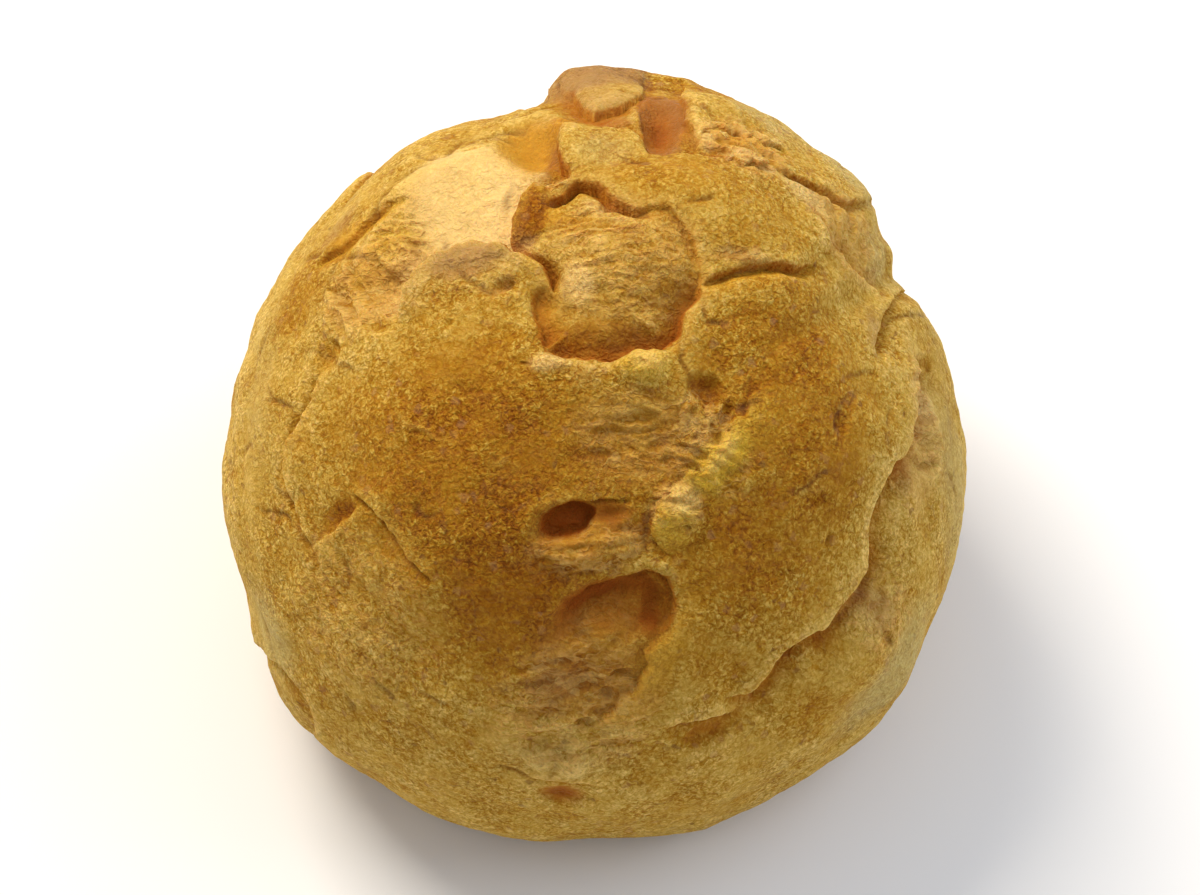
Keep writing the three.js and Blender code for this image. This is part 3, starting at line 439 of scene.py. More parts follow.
# fine cracks and strands: depth, half width, path. A depth below zero makes a raised thread.
fineLines = onFaces([
    (0.4, 0.28, [(1.6, 29.5), (2.4, 29.2, 0.8), (3, 28.8), (4, 28.5), (5.4, 28)]),
    (0.45, 0.3, [(8.2, 11), (8, 9.8), (8.2, 8.4), (8.8, 6.8, 0.6), (9, 5.4)]),
    (0.3, 0.25, [(-25.4, -10.8), (-25.2, -12), (-25, -13), (-25.4, -14.4)]),
    (0.3, 0.3, [(-4, -28.6), (-3.6, -29.6, 0.6), (-4.6, -30.4, 0.4), (-4.4, -31.4, 0.7), (-4.8, -32.6, 0.5),
        (-4.2, -33.4)]),
    (0.9, 0.4, [(30.6, -1.2), (30.3, -2.4), (29.9, -3.8), (29.4, -5), (28.8, -6.4)]),
    (0.7, 0.35, [(28.3, -12.6), (27.7, -14.4), (26.5, -16.3), (25, -18.1), (23.2, -19.7)]),
    # the trough round the deep front hole's floor
    (0.7, 1.3, [(-3.3, -19.4), (-3.5, -18, 0.7), (-2.9, -16.4), (-1.4, -15.2), (0.6, -14.7), (2.6, -14.6),
        (4.4, -14.4), (5.2, -15.2), (5.4, -16.8), (4.9, -18.2), (4.2, -19.2)]),
    (0.45, 0.3, [(-10.6, -31.8), (-10, -32, 0.8), (-8.4, -32.2), (-7.2, -32.8), (-6.2, -33.2, 0.4)]),
    (0.3, 0.25, [(24, 6.8), (24.6, 7, 0.8), (26, 7.4, 0.8), (27, 7.6, 0.6), (28, 7.2)]),
    (0.25, 0.3, [(25, 6.4), (24.3, 5.4, 0.8), (23.6, 4.4), (23.1, 3.4), (22.8, 2.2), (22.4, 1)]),
    (0.35, 0.28, [(29, 4.2), (28.7, 3.5), (28.3, 2.4, 0.8), (28.2, 1.6)]),
    (0.25, 0.3, [(18, -4.3), (19.6, -4), (20.6, -3.1), (21.6, -2.5), (22.8, -2.2)]),
    (0.35, 0.25, [(-34, 4.6), (-32.6, 4.6), (-31.2, 4.1), (-30.6, 3.6)]),
    (0.3, 0.22, [(-33.3, 6.4), (-32.8, 5.2), (-32.4, 4.5, 0.6), (-32.4, 4)]),
    (0.35, 0.25, [(-34.4, -5.6), (-33.4, -6.6), (-32, -6.6), (-31.2, -7.2), (-30.9, -8)]),
    (0.3, 0.25, [(29, 12.8), (30.6, 13.1), (32.2, 13, 0.8), (33, 12.6)]),
    (0.35, 0.3, [(-26.2, 19), (-25.2, 19), (-23.8, 19), (-22.8, 18.8)]),
    (0.35, 0.28, [(-8, 19.6), (-9.4, 19.2), (-10.5, 18.8), (-11.8, 18.3)]),
    (0.35, 0.28, [(-14.6, 17.8), (-13.6, 17, 0.8), (-12.2, 16, 0.8), (-10.8, 15.4, 0.8), (-9.8, 15.1)]),
    (0.35, 0.3, [(9.9, 12.4), (11, 12.3), (12, 12.2), (13, 12)]),
    (0.35, 0.3, [(10.4, 15.4), (10.3, 14.2), (10.4, 13), (10.3, 12)]),
    (0.35, 0.3, [(-18, -5), (-17.4, -5.9), (-16.5, -6.7), (-15, -6.6)]),
    (0.35, 0.3, [(13.2, 3.4), (14, 3.9), (15, 4.2), (16, 4.4)]),
    (0.3, 0.3, [(-23, -22.4), (-21.8, -23.8), (-20.8, -24.8), (-20, -25.6)]),
    (0.3, 0.3, [(-26, -24), (-25.4, -25), (-24.8, -26), (-24.4, -26.8)]),
    (0.3, 0.3, [(-18.4, -24.2), (-17.2, -24.7), (-15.8, -25.4), (-14.8, -25.6)]),
    (0.4, 0.3, [(27.8, -17.2), (28.1, -18.4), (28.6, -19.6), (28.3, -21)]),
    (0.3, 0.3, [(5.2, -5.4), (4.9, -6.8), (4.8, -8.4), (4.6, -10, 0.8), (4.9, -11.4)]),
    (0.3, 0.3, [(2, 21), (2.8, 20.9), (3.8, 20.9), (4.8, 20.3)]),
    (-0.28, 0.22, [(-19, 2.3), (-17.6, 2), (-16.4, 1.7), (-15.6, 0.8), (-13.6, 0.5)]),
    (-0.25, 0.2, [(-11.4, -1.6), (-10, -1.6), (-9, -1.1), (-8.6, -0.9)]),
    (-0.32, 0.24, [(1.4, 2.6), (3, 2.1), (4.4, 2), (5.8, 2.4)]),
    (-0.32, 0.24, [(2, 1.2), (3.4, 0.7), (5, 0.6), (6.2, 1)]),
    (-0.35, 0.26, [(2.8, 4.7), (4.4, 4.4), (5.8, 3.7), (6.8, 2.6)]),
    (-0.32, 0.24, [(9.2, 5), (9.9, 3.8), (10.3, 2.6), (11, 1.2)]),
    (-0.32, 0.24, [(8.2, 4.2), (8.9, 3), (9.3, 1.8), (10.2, 0.6)]),
    (-0.4, 0.3, [(7.6, 1), (9, 0.4, 0.8), (10.6, -0.2), (12.4, 0.2), (14, 1.2)]),
    (-0.4, 0.3, [(8, -0.6), (9.4, -1.4, 0.8), (11, -1.2), (12.6, -1.8), (13.6, -1.4)]),
    (-0.4, 0.3, [(7.4, -2), (8.6, -2.6), (10.2, -2.6), (11.6, -3.4, 0.8), (12.4, -3.2)]),
    (-0.4, 0.3, [(10.6, 3), (11.8, 2), (13, 2.2), (14.2, 2.8)]),
    (-0.5, 0.3, [(5.6, -4.4), (7, -4.4), (8.4, -4.9), (9.6, -4.5)]),
    (-0.4, 0.3, [(6, -6.6), (7.2, -6), (8.6, -6.2, 0.8), (9.4, -6.8)]),
    (-0.3, 0.24, [(3, 35), (3.4, 34.4), (3.9, 33.4), (4.4, 32.3)]),
    (-0.32, 0.24, [(5, -1.4), (6.6, -0.8), (8.2, -0.9), (9.8, -1.8)]),
    (-0.28, 0.24, [(19.2, -4.4), (20, -4), (21, -4), (22.4, -3.7)]),
    (-0.25, 0.24, [(-21, -24.6), (-19.8, -26), (-18.4, -27.4), (-17, -28.6)]),
], [
    (0.4, 0.3, [(-5, -2), (-7, -4.4), (-6, -7), (-8, -9.6)]),
    (0.35, 0.3, [(10, -8), (13, -9.4), (16, -9), (19, -11)]),
    (-0.3, 0.25, [(-14, -2), (-11, -0.2), (-8, -0.6)]),
])


grooveStyle = {"depth": 0.6, "spacing": 0.5, "trough": 0.8}  # share of depth, mm, half width of a wide one


def groove(face, depth, halfWidth, places):
    path, strengths = tracePath(face, places, grooveStyle["spacing"])
    middle = path.mean(axis=0)
    chosen = within(middle, np.linalg.norm(path - middle, axis=1).max() + 4 * halfWidth + 0.6)
    distance, strength, _ = beside(ragged[chosen], path, strengths)
    trough = halfWidth > grooveStyle["trough"]
    line = strength * np.exp(-((distance / halfWidth) ** (4 if trough else 2)))
    height[chosen] -= grooveStyle["depth"] * depth * line
    # painted shade: wide troughs take the deep colour and cracks the dark crease colour; raised threads take the
    # pale lip colour
    atLeast("deep" if trough else "crease" if depth > 0 else "lip", chosen, line)


for face, depth, halfWidth, places in fineLines:
    groove(face, depth, halfWidth, places)

# small cracks that are alike all over the hidden side, and fewer, finer ones that run over the front
scatteredCracks = {"count": 70, "length": (3, 9), "depth": (0.2, 0.5), "halfWidth": (0.25, 0.4), "swing": 0.9}
for _ in range(scatteredCracks["count"]):
    face = faceAt(dice.uniform(75, 285), dice.uniform(5, 40))
    across, heading = dice.uniform(-24, 24, 2), dice.uniform(0, 2 * math.pi)
    stride = dice.uniform(*scatteredCracks["length"]) / 4
    places = []
    for strength in (0, 0.8, 1, 0.8, 0):
        places.append((*across, strength))
        across = across + stride * np.array([math.cos(heading), math.sin(heading)])
        heading += dice.uniform(-1, 1) * scatteredCracks["swing"]
    groove(face, dice.uniform(*scatteredCracks["depth"]), dice.uniform(*scatteredCracks["halfWidth"]), places)
print("cracks and threads done")

# hollows: place, radii, turn, depth, and the share of the radii where the wall starts
hollows = onFaces([
    ((-3.4, -7.2), (3.1, 1.8), 16, 1.9, 0.7),  # the slot in the valley
    ((0.6, -6.6), (2.6, 1.3), 0, 0.9, 0),
    ((1, -6.5), (3.6, 1.3), -4, 0.6, 0),  # its shallow right end
    ((1.8, -16.3), (6.2, 3.8), 14, 1.6, 0.3),  # the deep front hole
    ((5.4, -15.8), (3, 4), 8, 1.8, 0.1),  # its right lobe
    ((12.4, 3.1), (1, 2.1), -18, 0.8, 0.2),  # teardrop in the valley
    ((6.3, 33.4), (3.1, 8), 4, 2.8, 0),  # pocket beside the knob
    ((1.2, 32.9), (2.2, 1.5), 8, 0.6, 0.1),  # under the knob's curl
    ((-26.4, 10), (0.8, 1.1), 10, 0.8, 0.3),  # head of the left crack
    ((-27.3, 9), (1.9, 2.3), -20, 0.7, 0.1),
    ((-9.6, 16.2), (1.6, 0.9), 30, 0.9, 0.1),  # in the front plate's top
    ((2.5, -22.8), (1.5, 1), -10, 0.8, 0.2),
    ((0.8, -25.2), (1.2, 1.5), 0, 1, 0.2),
    ((-1.6, -27.5), (1.5, 0.9), 12, 0.7, 0.2),
    ((-12.9, 29.7), (1.2, 0.4), -6, 0.8, 0.4),  # slot in the bright slope
    ((8.6, -7.9), (0.6, 0.4), 40, 0.35, 0.1),
    ((4.2, 8.1), (0.6, 0.4), -30, 0.3, 0.1),
    ((22.6, -9.2), (0.4, 0.7), 0, 0.4, 0.3),
    ((11, -28.8), (3.6, 1.8), 4, 1.1, 0.3),  # the lower slits
    ((-3.8, -34.6), (3.5, 2.4), -2, 0.7, 0.2),
    ((29.3, -3.8), (0.9, 2.2), -20, 1.7, 0.3),  # the gap under the right plate's edge
    ((23.4, 2.3), (1.1, 1.7), -20, 0.4, 0.2),
    ((33.1, 8), (1, 1.2), 0, 0.8, 0.2),
    ((21, -5), (1.7, 1), 0, 0.3, 0.2),
    ((-7.2, 8.3), (0.8, 0.3), 0, 0.25, 0.2),
    ((-14.8, 12.3), (0.6, 0.4), 0, 0.2, 0.1),
    ((10.6, 5.5), (2.4, 1.8), -30, 1, 0.2),  # the valley's brown dip
], [
    ((-12, -4), (2.6, 1.6), 15, 2, 0.5),
    ((11, -6), (1.6, 1.2), -30, 1.3, 0.5),
])

# soft rises, and dips where the height is below zero: place, radii, turn, height
swellings = onFaces([
    ((2, 17.4), (9, 8.4), 0, -0.9),  # the window
    ((2.4, 19), (7.6, 6.2), 0, 1.9),  # its inner lump
    ((-2.2, 16.6), (2.8, 3.6), 10, 0.6),  # the pale patch on it
    ((-7, 23.4), (3, 4.4), -15, 0.9),  # the flap
    ((-14.5, 25.6), (8, 6.4), 25, -1.6),  # the bright slope
    ((-7.4, 31), (4, 7), -15, -1.8),  # the neck
    ((-6.6, 36), (2, 5), 0, -0.8),
    ((-0.4, 37.4), (6, 7), 0, 1.6),  # the top knob
    ((0.4, 36), (5.4, 6), 0, 0.7),
    ((-3.8, 37.2), (2.6, 5), 0, 0.4),
    ((3.6, 37.4), (2.8, 4.4), 0, 0.6),
    ((6.8, 37.2), (5, 4), -10, 0.7),  # the rim beside the knob
    ((11.5, 34.2), (5, 4), -25, 0.6),
    ((10.5, 24.6), (13, 7), -22, 1.5),  # the upper plate
    ((25.4, 21), (5, 7), 20, -0.8),  # the terrace
    ((28.9, 18.8), (2, 2.6), 20, 0.5),  # its outer knuckle
    ((27.6, 23.4), (1.6, 2.4), 20, 0.5),
    ((19, 3), (13, 17), 8, 1.5),  # the right plate
    ((-15, -2), (17, 21), 10, 1.4),  # the front plate
    ((4.2, 8), (3.2, 2.6), 0, 1.5),  # the lump under the window
    ((-4.8, 8.4), (2.4, 1.3), 0, 0.5),  # and the bright rim beside it
    ((7.8, -7), (3.2, 3.4), -10, 0.8),  # the lump in the valley
    ((11.2, -1.4), (3.6, 1.7), 48, 0.5),  # and the yellow ridge above it
    ((4, 0.4), (6, 5), 0, -0.9),  # the valley's skin
    ((-1, -10.2), (5.4, 2.2), 6, 1),  # the shelf in the valley
    ((0.3, -18), (2.9, 2.2), 8, 1.2),  # floor of the deep hole
    ((-1, -24), (6, 5), 0, -0.9),  # the valley's foot
    ((-6.2, -30.8), (2, 1.9), 0, 0.7),  # rounded lumps beside the low crack
    ((-2.5, -31.3), (2, 1.9), 0, 0.7),
    ((33, -2), (3, 9), 0, -0.6),  # the right side band
    ((27, -21), (8, 4), 45, 0.6),  # the swell under the right plate
    ((-34.5, -2), (3, 11), 0, 0.4),  # the left side band
    ((-23, 16), (4.4, 5), 30, -0.5),  # the rough torn patch
], [
    ((-6, -2), (18, 12), 10, 1.2),
    ((14, 24), (12, 7), -10, 1),
    ((14, -4), (8, 12), 0, 0.9),
])

# stretched skin: place, radii, turn of the folds, fold spacing, height
stretchedSkin = onFaces([
    ((4, 18), (7.5, 6.4), 2, 0.7, 0.17),  # inside the window
    ((-0.4, 22.4), (5, 3.2), 12, 0.8, 0.4),
    ((-4.4, 27.4), (2.2, 1.8), 40, 1, 0.5),  # curled bits by the neck
    ((4, 1.4), (6.4, 4.6), -4, 0.7, 0.2),  # the valley's upper skin
    ((10, 3), (2.6, 3.4), 65, 0.8, 0.35),
    ((11, -1.8), (4.6, 3), -24, 0.9, 0.4),  # the right plate's yellow edge
    ((7.8, -6), (3, 2.6), 10, 0.8, 0.4),
    ((-1, -10), (6, 3), 4, 0.8, 0.25),  # the shelf
    ((0, -17.8), (3.4, 2.6), 0, 0.8, 0.2),
    ((-2.6, -23.6), (6.5, 5), 22, 1, 0.28),  # the valley's foot
    ((-3, -27), (9, 7), 10, 2.1, 0.5),
    ((33.2, 2), (3, 7), 5, 0.9, 0.5),  # the side band
    ((28.4, -16.6), (4.6, 5), 50, 1.1, 0.25),
    ((14.6, 30.2), (5, 5.4), -25, 0.8, 0.6),  # torn skin under the upper right rim
    ((25.5, 21.6), (5, 7), 62, 1.2, 0.25),  # the terrace
    ((14, 18.9), (3.4, 1), 6, 1, 0.25),  # over the gash
    ((-23, 16.6), (5.4, 6.6), -48, 0.9, 0.6),  # the rough torn patch
    ((-20.6, 21.4), (3.4, 3), -20, 0.8, 0.4),
    ((-12, 17.4), (4.6, 3), -20, 0.9, 0.16),  # the front plate's top
    ((-14.5, 25), (8, 6), 30, 1.4, 0.12),  # the bright slope
    ((-24, -17), (9, 9), -52, 1.2, 0.16),  # faint streaks low on the left
], [
    ((-4, 0), (10, 3.4), 15, 1.4, 0.4),
    ((4, -6), (3, 9), 80, 1.4, 0.35),
    ((-22, -4), (5, 4), 30, 1.3, 0.3),
])

# where each mark colours, or clears with an amount below zero: place, radii, turn, amount, and
# how much of the radius fades
colourPlaces = onFaces([
    ("browning", [
        # the plates; the place low on the right is darkened partly by browning, partly as painted shade
        ((-9, -6), (19, 22), 8, 0.3, 0.7), ((-7, -12), (11, 14), 0, 0.16, 1), ((3, -20), (13, 10), 0, 0.16, 0.9),
        ((20, -24), (14, 9), -40, 0.12, 0.8), ((-22, -2), (9, 14), 0, 0.07, 0.8),
        ((-14, 6), (11, 8), 0, 0.08, 1), ((17, 2), (14, 19), 0, 0.26, 0.6), ((14, -15), (10, 9), 0, 0.12, 0.9),
        ((12, 24), (14, 8), -20, 0.08, 0.8),
        # the knob, the wall left of it, the bright slope, kept paler partly as painted highlight, and the neck
        ((0, 37.2), (6, 5), 0, 0.3, 0.6), ((-3.6, 33.2), (2.2, 2.8), 0, 0.5, 0.6),
        ((4.9, 35), (1, 6), 0, 0.4, 0.8), ((-14, 26), (7.4, 9), 25, -0.6, 0.5),
        ((-5, 31.6), (1.6, 4.6), 0, 0.4, 0.7),
        # the left side, the window and its flap
        ((-33, 10), (4, 8), -15, 0.08, 0.8), ((-29, 17), (5, 7), -35, 0.05, 0.8),
        ((5, 18), (5, 4.6), 0, 0.1, 0.6), ((1, 11.4), (7, 2), 0, 0.25, 0.5),
        ((-7.2, 23), (2.4, 3.8), -15, 0.38, 0.5),
        # the yellow ridge, the valley's foot, and the pocket, darkened partly as painted shade
        ((11.6, -1), (4.4, 2.4), 48, -0.2, 0.7), ((-3, -24), (6, 5), 0, 0.22, 0.8),
        ((5.6, -22), (3, 6), -28, 0.12, 0.8), ((6.4, 33.6), (3, 8), 0, 0.8, 0.5),
        # the left side again and the notch
        ((-29, 17), (6, 9), -35, 0.16, 0.8), ((-25, 22), (5, 4), 45, 0.1, 0.8),
        ((-28, -8), (9, 16), 0, 0.08, 0.8), ((-26, -6.2), (1.6, 2.3), -20, 0.1, 0.6),
        # the low lumps, the fold, the slits, and both side rims kept paler: partly paler crust, partly painted
        # rim light
        ((-4, -31), (6, 2.6), 0, -0.14, 0.8), ((-31.2, -24.4), (1.6, 4), 38, 0.2, 0.6),
        ((11, -29), (3.6, 1.8), 0, 0.15, 0.6), ((-37, 0), (9, 30), 0, -0.12, 1), ((38, 0), (9, 30), 0, -0.2, 1),
        ((0.6, 30), (4, 4), 0, -0.08, 0.7),
    ]),
    ("blush", [
        # the knob with painted shadow under its curl, the window's corner and the front plate's top
        ((-0.8, 37), (6.4, 8.4), 0, 0.9, 0.35), ((1.2, 33.4), (2.2, 2.4), 0, 0.7, 0.5),
        ((-6, 28.4), (1.3, 1.4), 0, 0.7, 0.6), ((-13.5, 18.2), (4.4, 2.4), 0, 0.9, 0.6),
        ((-1.4, 7.4), (2.6, 1.8), 0, 0.3, 0.7),
        # the pocket, partly as painted shade, and the upper right
        ((6.8, 34), (2.4, 6), 0, 0.8, 0.6), ((7, 30.8), (2, 1.8), 0, 0.7, 0.6),
        ((22, 25.8), (3, 1.4), -30, 0.5, 0.7), ((14, 18.9), (3.4, 1), 6, 0.6, 0.6),
        ((27.6, 12), (1.4, 3.4), 0, 0.7, 0.7),
        # the side band, the upper left rim and the foot
        ((31.4, -3), (1.6, 3), -15, 0.6, 0.6), ((28, -16.2), (2.6, 2.8), 0, 0.8, 0.7),
        ((23.4, -18.8), (1.6, 1), 0, 0.7, 0.6), ((-26, 22.4), (4, 2), 42, 0.7, 0.7),
        ((-5, -24), (4, 3.4), 30, 0.5, 0.8),
    ]),
    ("ash", [
        # the knob
        ((-0.8, 37), (6.4, 8.4), 0, 0.5, 0.35),
        # the paler, greyer rims: partly greyer crust, partly painted rim light
        ((35.6, -4), (6, 15), 0, 0.8, 0.7), ((29.6, -22.6), (11, 6.6), 53, 1.2, 0.7),
        ((-32.9, -18.4), (6, 5), 117, 1, 0.6), ((-34, 6), (4, 12), 0, 0.4, 0.8),
        ((16, 33), (8, 5), -30, 0.7, 0.8), ((25, 27), (6, 6), 0, 0.9, 0.7), ((28, 19.6), (3, 5), 0, 0.8, 0.6),
        ((-4, -31), (9, 4), 0, 0.35, 0.9), ((0.6, 30), (4, 4), 0, 0.5, 0.7),
    ]),
    ("membrane", [
        # the knob has none; the bright slope and the neck have
        ((-0.8, 37), (6.4, 8), 0, -1, 0.35), ((-14, 25.5), (8, 8.6), 25, 0.5, 0.4),
        ((-6.8, 31), (3.8, 6.8), -15, 1, 0.4),
        # the window, and not its flap
        ((2, 18), (9, 9), 0, 0.5, 0.25), ((-7.3, 23), (2.4, 3.8), -15, -0.8, 0.5),
        # the valley
        ((4, 1), (7.6, 5.4), 0, 0.7, 0.4), ((-1, -9.4), (6.4, 3.2), 0, 0.7, 0.4),
        ((0, -22), (8, 8), 0, 0.7, 0.4),
        # torn skin under the rim, pocket, terrace, side band, rough torn patch
        ((14.4, 30), (5.4, 5.4), -25, 1, 0.5), ((6.4, 33.6), (3.2, 8), 0, 1, 0.3),
        ((25.5, 22), (5, 7), 20, 0.6, 0.5), ((32.6, 1), (3, 9), 0, 0.5, 0.4), ((-23, 17), (5, 7), -40, 0.9, 0.4),
    ]),
    ("amber", [
        # the knob, the brown wall left of it and the neck
        ((-0.8, 37), (6.4, 8), 0, -1, 0.35), ((-3.6, 33.2), (2.2, 2.8), 0, 0.8, 0.6),
        ((-7.6, 30.6), (3.5, 6.4), -15, 1, 0.4), ((-4.9, 30.6), (1.5, 4), 0, -0.6, 0.7),
        # the valley and the window
        ((3, 2), (5, 4), 0, 0.25, 0.7), ((-2.8, 22.4), (3.2, 2), 12, 0.5, 0.7),
        ((-5.4, 13), (1.8, 3), 0, 0.5, 0.7), ((-4.6, 23.4), (1.4, 2), -30, 0.6, 0.8),
        # the torn skin, the rough patch and the left crack
        ((14.4, 30.6), (5, 4), -25, 0.5, 0.7), ((-22.6, 17), (4.6, 5.6), -30, 0.75, 0.7),
        ((-25, 21.4), (3.4, 1), 40, 0.8, 0.6), ((-27.4, 9), (1.8, 2.4), 0, 0.6, 0.6),
        ((-31.8, -3), (1, 3), 0, 0.3, 0.8),
    ]),
    ("deep", [
        # beside the knob, and painted shadow under its curl
        ((-3.6, 33.2), (2.2, 2.8), 0, -0.4, 0.5), ((1.3, 33.2), (2.4, 1.8), 0, 0.5, 0.6),
        ((-7, 30.6), (4, 6.4), -15, -0.6, 0.4),
        # painted shade over orange-brown skin in the slot, the holes, the slits and the gaps
        ((-3.4, -7.2), (3, 1.75), 16, 0.7, 0.15), ((1.2, -6.6), (3.4, 1.3), -4, 0.45, 0.5),
        ((-0.8, -15.3), (3.2, 1.2), 24, 0.3, 0.7), ((-3.9, -34.8), (3.2, 2.2), 0, 0.7, 0.8),
        ((15.4, 17.7), (5.6, 1.2), 0, -0.3, 0.6), ((29, -3.8), (0.8, 2.1), -20, 0.6, 0.3),
        ((1, 11.6), (5, 1.4), 0, -0.3, 0.8), ((1, 11.2), (6.6, 1.9), 0, 0.15, 0.6),
    ]),
    ("cream", [
        # the bright slope, the window and the lump below it; the cream on the bright slope and on the bright rim
        # beside that lump is partly paler skin, partly painted highlight
        ((-13.4, 25.8), (6.8, 8.6), 25, 0.85, 0.45), ((-6.3, 28.6), (1.1, 1.2), 0, 0.5, 0.8),
        ((-2.2, 16.6), (2.2, 2.8), 10, 0.7, 0.7), ((0, 24.4), (3, 1.6), 0, 0.3, 0.7),
        ((4.4, 8.6), (2.2, 1.4), 0, 0.35, 0.8), ((-5, 8.4), (2.4, 1.2), 0, 0.6, 0.6),
        # the yellow ridge
        ((12, -0.6), (3.4, 1.2), 50, 0.35, 0.8), ((8, -5), (2.6, 1.8), 20, 0.5, 0.6),
        # flakes in the torn skin
        ((14.2, 29.4), (1.8, 1.1), -10, 0.7, 0.9), ((10.8, 30.9), (1, 2), 0, 0.7, 0.8),
        ((12.2, 31.2), (0.9, 1), 0, 0.6, 0.9), ((17.4, 31.8), (1, 1), 0, 0.5, 0.9),
        ((17, 27.6), (1.4, 1), 0, 0.5, 0.9),
        # the terrace and the side band
        ((20.8, 25.6), (4.5, 2.2), -30, 0.7, 0.8), ((33, 2), (3.2, 12), 0, 0.25, 0.7),
        ((33.2, 4.4), (1.8, 2.6), 0, 0.6, 0.7),
    ]),
    ("calm", [
        # smoother places
        ((-0.4, 35.8), (6, 9), 0, 0.5, 0.4), ((-7, 32), (3.5, 8), 0, 0.6, 0.5),
        ((-14, 26), (7, 8), 25, 0.6, 0.5), ((33, 2), (3.6, 13), 0, 0.8, 0.6),
        ((-34.5, 0), (4, 14), 0, 0.85, 0.6), ((-34, -18), (3, 6), 30, 0.7, 0.6),
        ((10, 25), (13, 8), -20, 0.3, 0.6), ((20, -25), (13, 8), 45, 0.35, 0.6),
        ((25.5, 21), (4, 6), 20, 0.7, 0.5), ((1.2, -6.6), (3.4, 1.3), -4, 0.6, 0.5),
        ((1, 11.4), (7, 2), 0, 0.7, 0.5),
    ]),
    ("yolk", [
        # the lump under the window, the yellow ridge, the lump below it and the hole's floor
        ((4.2, 8.2), (3, 2.4), 0, 0.8, 0.6), ((11.8, -1.4), (4.2, 2.4), 45, 1, 0.6),
        ((7.6, -7.6), (2.4, 3), 0, 0.5, 0.7), ((0.6, -18), (3.2, 2.4), 0, 0.3, 0.6),
        ((5.6, -21.4), (2.6, 6), -28, 0.3, 0.7), ((-21, 21), (3.6, 2.6), 0, 0.6, 0.8),
    ]),
    ("lip", [
        # the same two lumps and the ridge
        ((4.2, 8.2), (3, 2.4), 0, 1, 0.6), ((11.6, -1), (4, 2), 48, 0.7, 0.7), ((7.6, -7), (3, 3), 0, 0.4, 0.7),
    ]),
], [
    ("browning", [
        ((0, 6), (24, 14), 0, 0.25, 1), ((0, 26), (24, 12), 0, 0.16, 1), ((-14, -6), (14, 10), 0, 0.14, 1),
    ]),
    ("membrane", [
        ((-4, 0), (10, 3.4), 15, 0.8, 0.4), ((4, -6), (3, 9), 0, 0.6, 0.5),
    ]),
    ("amber", [
        ((-22, -4), (5, 4), 0, 0.5, 0.8),
    ]),
])


def placeAt(face, place, turn):
    centre = onForm(face, place)[0]
    out = centre / np.linalg.norm(centre)
    t = math.radians(turn)
    along = face["right"] * math.cos(t) + face["up"] * math.sin(t)
    along = along - out * (along @ out)
    along /= np.linalg.norm(along)
    return centre, along, np.cross(out, along)


def spread(points, face, place, radii, turn):
    # the vertices near a place, their share of its radii, and how far they are along and across it
    centre, along, across = placeAt(face, place, turn)
    chosen = within(centre, 1.3 * max(radii) + 1)  # with room for the drift of ragged points
    offset = points[chosen] - centre
    x, y = offset @ along, offset @ across
    share = np.hypot(x / radii[0], y / radii[1])
    return chosen, share, x, y


placeStyle = {
    "hollowEdge": 1.1,  # share of the radii where a hollow's wall meets the crust
    "fullHollow": 2.4,  # depth from which a hollow is darkest
    "foldLength": 3.4,  # folds' length against their width
    "foldFade": (0.6, 1.1),
    "fineFolds": 0.45,
    "fullFold": 0.3,  # height from which folds show fully in the colour
}

for face, place, radii, turn, depth, wall in hollows:
    chosen, share, _, _ = spread(ragged, face, place, radii, turn)
    cut = 1 - smooth(share, wall, placeStyle["hollowEdge"])
    fall[chosen] = np.maximum(fall[chosen], depth * cut)
    # painted shade over orange-brown inner skin: the deeper a hollow, the more deep colour it takes
    atLeast("deep", chosen, cut * min(depth / placeStyle["fullHollow"], 1))
for face, place, radii, turn, tall in swellings:
    chosen, share, _, _ = spread(plain, face, place, radii, turn)
    height[chosen] += tall * np.maximum(1 - share**2, 0) ** 2
for face, place, radii, turn, spacing, tall in stretchedSkin:
    chosen, share, x, y = spread(ragged, face, place, radii, turn)
    fade = 1 - smooth(share, *placeStyle["foldFade"])
    sheet = np.stack([x / placeStyle["foldLength"], y, np.full(len(x), 7.7)], axis=1)
    folds = 1 - 2 * np.abs(noise(sheet, 1.6 * spacing, spacing + place[0])) - placeStyle["fineFolds"]
    folds += placeStyle["fineFolds"] * noise(sheet * 1.9, spacing, 2.6 + place[1])
    height[chosen] += tall * folds * fade
    shown = min(tall / placeStyle["fullFold"], 1)
    marks["fold"][chosen] += folds * fade * shown
    atLeast("strand", chosen, fade * shown)
for face, mark, places in colourPlaces:
    for place, radii, turn, amount, faded in places:
        chosen, share, _, _ = spread(ragged, face, place, radii, turn)
        marks[mark][chosen] += amount * (1 - smooth(share, 1 - faded, 1))
for chosen, onPlate, names in cleared:
    for name in names:
        marks[name][chosen] *= 1 - onPlate
print("hollows, swellings, skin and colour places done")

crustRelief = {
    "lumps": [(11, 0.7), (5, 0.3), (2.4, 0.09)],  # sizes and heights in the plates
    "pebbleSize": 2.6,
    "pebbles": 0.14,
    "skinLacks": 0.75,  # share of the pebbles that stretched skin hasn't got
    "tornWalls": 0.3,  # a dark wall's crumbs against a pale lip's
    "crumbSizes": (1.1, 0.7),
    "crumbs": 0.06,  # height all over, and what the tears add of each size
    "tornCrumbs": (0.2, 0.12),
}

